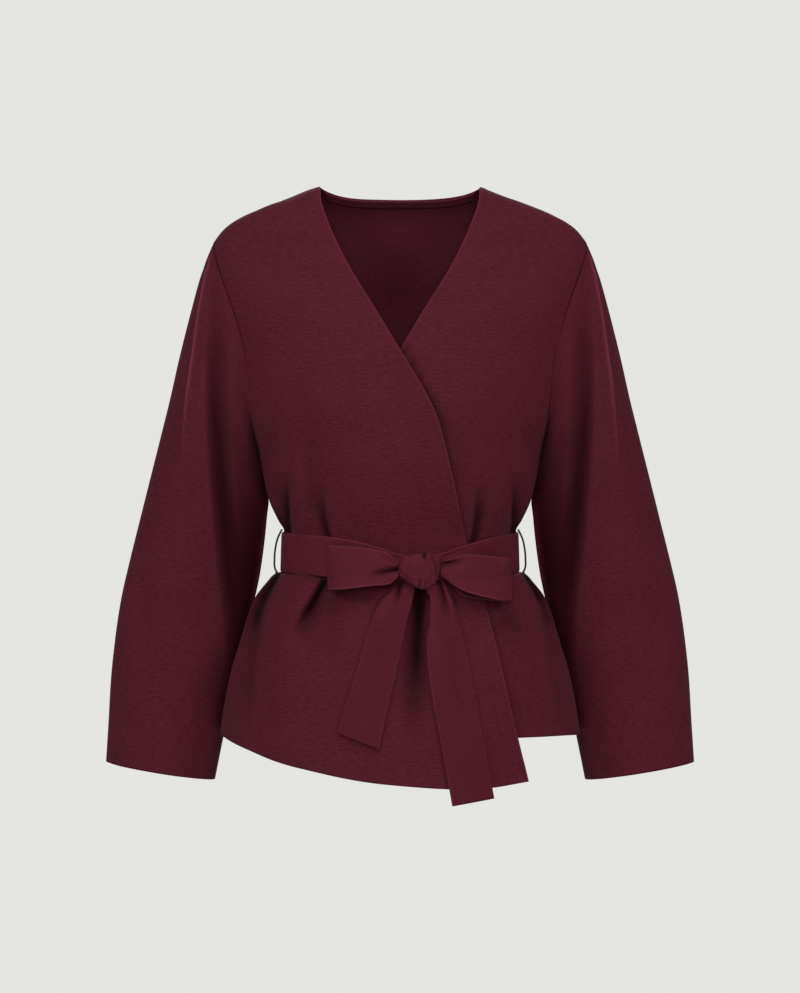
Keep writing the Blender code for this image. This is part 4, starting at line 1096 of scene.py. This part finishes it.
# The knot. The belt's end is passed round the middle of the bow and pulled tight, which leaves a
# small squarish knot with slanting wraps.
KNOT_CENTRE, KNOT_DEPTH, KNOT_FULLNESS = (0.0220, -0.4190, 0.0180), 0.0095, 0.60
KNOT_SEGMENTS, KNOT_RINGS = 170, 120
KNOT_CREASE_BEGIN, KNOT_CREASE_END, KNOT_FACE, KNOT_FOLD_DEPTH = 0.002, 0.35, 0.3, 0.0060
KNOT_OUTLINE = table("degrees reach", [
    (-180.0, 0.0236),
    (-167.0, 0.0234),
    (-145.0, 0.0195),
    (-113.0, 0.0186),
    (-79.0, 0.0206),
    (-54.0, 0.0204),
    (-30.0, 0.0204),
    (-8.0, 0.0206),
    (19.0, 0.0220),
    (36.0, 0.0262),
    (57.0, 0.0216),
    (80.0, 0.0184),
    (114.0, 0.0184),
    (143.0, 0.0222),
    (160.0, 0.0230),
    (180.0, 0.0236),
])
KNOT_CREASES = table("x0 z0 x1 z1 bow low_x high_x spread depth", [
    (0.0258, -0.3930, 0.0264, -0.4090, 0.000, 0.0024, 0.0013, 0.8, -0.0050),
    (0.0330, -0.4010, 0.0405, -0.4300, 0.001, 0.0014, 0.0030, 1.0, -0.0018),
    (0.0175, -0.4460, 0.0232, -0.4250, 0.000, 0.0013, 0.0017, 1.0, -0.0024),
    (0.0250, -0.4450, 0.0290, -0.4260, 0.000, 0.0012, 0.0015, 1.0, -0.0018),
    (-0.0030, -0.4160, 0.0170, -0.4330, -0.001, 0.0014, 0.0014, 1.3, -0.0012),
    (0.0020, -0.4250, 0.0180, -0.4380, -0.001, 0.0014, 0.0014, 1.3, -0.0016),
    (0.0080, -0.4100, 0.0300, -0.4180, 0.000, 0.0050, 0.0050, 1.0, 0.0014),
    (0.0340, -0.4230, 0.0300, -0.4380, 0.000, 0.0014, 0.0014, 1.0, -0.0010),
    (0.0280, -0.4060, 0.0340, -0.4240, 0.001, 0.0011, 0.0011, 1.0, -0.0010),
])


def knot():
    """The knot: a ball pulled out to its outline and pressed by its wraps' creases."""
    mesh = bpy.data.meshes.new("knot_wraps")
    builder = bmesh.new()
    bmesh.ops.create_uvsphere(builder, u_segments=KNOT_SEGMENTS, v_segments=KNOT_RINGS, radius=1)
    layer = builder.loops.layers.uv.new("Weave")
    x, y, z = np.array([vertex.co for vertex in builder.verts]).T
    spoke = np.hypot(x, z)
    bearing = np.degrees(np.arctan2(z, x))
    reach = curve_through(KNOT_OUTLINE["degrees"], KNOT_OUTLINE["reach"], bearing)
    reach = reach * spoke ** KNOT_FULLNESS / np.maximum(spoke, 1e-6)
    across, height = KNOT_CENTRE[0] + reach * x, KNOT_CENTRE[1] + reach * z
    relief = creases(KNOT_CREASES, across, height, KNOT_CREASE_BEGIN, KNOT_CREASE_END)
    relief = relief * smooth(-y / KNOT_FACE)
    lift = KNOT_CENTRE[2] - KNOT_DEPTH * np.copysign(np.abs(y) ** KNOT_FULLNESS, y) + relief
    points = on_front(across, height, lift) + (0, 0, ORIGIN_RAISE)
    for vertex, point in zip(builder.verts, points):
        vertex.co = point
    bmesh.ops.recalc_face_normals(builder, faces=builder.faces)
    for face in builder.faces:
        for loop in face.loops:
            loop[layer].uv = (loop.vert.co.x, loop.vert.co.z)
    builder.to_mesh(mesh)
    builder.free()
    mesh.shade_smooth()
    mesh.materials.append(belt_crepe)
    # Painted shade in the wraps' creases.
    keep_shade(mesh, "PaintedShade", -relief / KNOT_FOLD_DEPTH)
    return worn(placed("knot_wraps", mesh), "belt_knot")


knot_wraps = knot()

# The thread loops. A thin chain of dark red thread stands off each side seam and carries the
# belt. It is sewn into the seam above and below the belt.
THREAD_RADIUS, THREAD_STEPS = 0.0011, 40
THREAD_LOOP = table("lift height", [
    (0.0022, -0.3765),
    (0.0046, -0.3810),
    (0.0074, -0.3880),
    (0.0090, -0.3970),
    (0.0097, -0.4060),
    (0.0097, -0.4140),
    (0.0086, -0.4200),
    (0.0056, -0.4247),
])


def thread_finish():
    """A dull twisted thread, striped across its turns."""
    made, tree, shader = new_finish("twisted_thread")
    shader.inputs["Roughness"].default_value = 0.75
    shader.inputs["Specular IOR Level"].default_value = 0.3
    place = tree.nodes.new("ShaderNodeTexCoord")
    wave = tree.nodes.new("ShaderNodeTexWave")
    wave.bands_direction = "DIAGONAL"
    wave.inputs["Scale"].default_value = 420.0
    wave.inputs["Distortion"].default_value = 1.5
    tree.links.new(place.outputs["Object"], wave.inputs["Vector"])
    ramp = tree.nodes.new("ShaderNodeValToRGB")
    ramp.color_ramp.elements[0].color = (0.036, 0.006, 0.011, 1.0)
    ramp.color_ramp.elements[1].color = (0.080, 0.014, 0.024, 1.0)
    tree.links.new(wave.outputs["Fac"], ramp.inputs["Fac"])
    tree.links.new(ramp.outputs["Color"], shader.inputs["Base Color"])
    raise_surface(tree, shader, wave.outputs["Fac"], strength=1.0, distance=0.0002)
    return made


twisted_thread = thread_finish()
for side, hand in (("right", -1), ("left", 1)):
    curve = bpy.data.curves.new(f"thread_{side}", "CURVE")
    curve.dimensions = "3D"
    curve.bevel_depth = THREAD_RADIUS
    curve.bevel_resolution = 3
    curve.use_fill_caps = True
    rows = np.arange(len(THREAD_LOOP["lift"]), dtype=float)
    steps = np.linspace(0, rows[-1], THREAD_STEPS)
    line = curve.splines.new("POLY")
    line.points.add(len(steps) - 1)
    for point, out, level in zip(line.points, curve_through(rows, THREAD_LOOP["lift"], steps),
                                 curve_through(rows, THREAD_LOOP["height"], steps)):
        point.co = (hand * (half_width(level) + out), 0, level + ORIGIN_RAISE, 1)
    curve.materials.append(twisted_thread)
    worn(placed(f"thread_{side}", curve), f"belt_loop_{side}")

# The studio. The jacket hangs at its worn height over a plain pale floor, in plain soft light
# from in front and above, and the camera looks straight at it from far off.
PIXEL, PICTURE_ROWS, ORIGIN_ROW = 0.0011, 993, 187
CAMERA_DISTANCE = 3.5
FLOOR_HEIGHT = -1.45
PALE = (0.783, 0.783, 0.760, 1.0)


def soft_light(name, place, aim, size, power):
    """A wide soft lamp that faces its aim."""
    light = bpy.data.lights.new(name, "AREA")
    light.shape = "RECTANGLE"
    light.size, light.size_y = size
    light.energy = power
    lamp = placed(name, light)
    lamp.location = place
    direction = np.array(aim) - np.array(place)
    tilt = math.atan2(math.hypot(direction[0], direction[1]), -direction[2])
    lamp.rotation_euler = (tilt, 0, math.atan2(-direction[0], direction[1]))


soft_light("left_box", (-2.1, -1.9, 1.5), (0, 0, -0.3), (0.9, 0.9), 30)
soft_light("right_box", (2.1, -1.9, 1.4), (0, 0, -0.3), (0.9, 0.9), 26)
soft_light("top_box", (0, -1.5, 2.5), (0, 0, -0.25), (1.6, 0.8), 19)
soft_light("front_box", (0, -3.3, 0.3), (0, 0, -0.3), (1.0, 1.0), 29)
soft_light("rear_box", (0, 2.6, 0.9), (0, 0, -0.3), (1.8, 1.6), 40)

floor_mesh = bpy.data.meshes.new("floor")
floor_mesh.from_pydata([(-3, -3, FLOOR_HEIGHT), (3, -3, FLOOR_HEIGHT), (3, 3, FLOOR_HEIGHT),
                        (-3, 3, FLOOR_HEIGHT)], [], [(0, 1, 2, 3)])
floor_paint, _, floor_shader = new_finish("floor_paint")
floor_shader.inputs["Base Color"].default_value = PALE
floor_shader.inputs["Roughness"].default_value = 0.9
floor_mesh.materials.append(floor_paint)
placed("floor", floor_mesh)

world = bpy.data.worlds.new("studio")
world.use_nodes = True
sky = world.node_tree
shown = sky.nodes["Background"]
shown.inputs["Color"].default_value = PALE
glow = sky.nodes.new("ShaderNodeBackground")
glow.inputs["Color"].default_value = (0.80, 0.80, 0.80, 1.0)
glow.inputs["Strength"].default_value = 0.26
path = sky.nodes.new("ShaderNodeLightPath")
chosen = sky.nodes.new("ShaderNodeMixShader")
sky.links.new(path.outputs["Is Camera Ray"], chosen.inputs["Fac"])
sky.links.new(glow.outputs[0], chosen.inputs[1])
sky.links.new(shown.outputs[0], chosen.inputs[2])
sky.links.new(chosen.outputs[0], sky.nodes["World Output"].inputs["Surface"])
bpy.context.scene.world = world
bpy.context.scene.view_settings.view_transform = "Standard"

lens = bpy.data.cameras.new("view")
lens.sensor_width = 36.0
lens.lens = lens.sensor_width * CAMERA_DISTANCE / (PICTURE_ROWS * PIXEL)
view = placed("view", lens)
view.location = (0, -CAMERA_DISTANCE, (ORIGIN_ROW - PICTURE_ROWS / 2) * PIXEL + ORIGIN_RAISE)
view.rotation_euler = (math.radians(90), 0, 0)
bpy.context.scene.camera = view
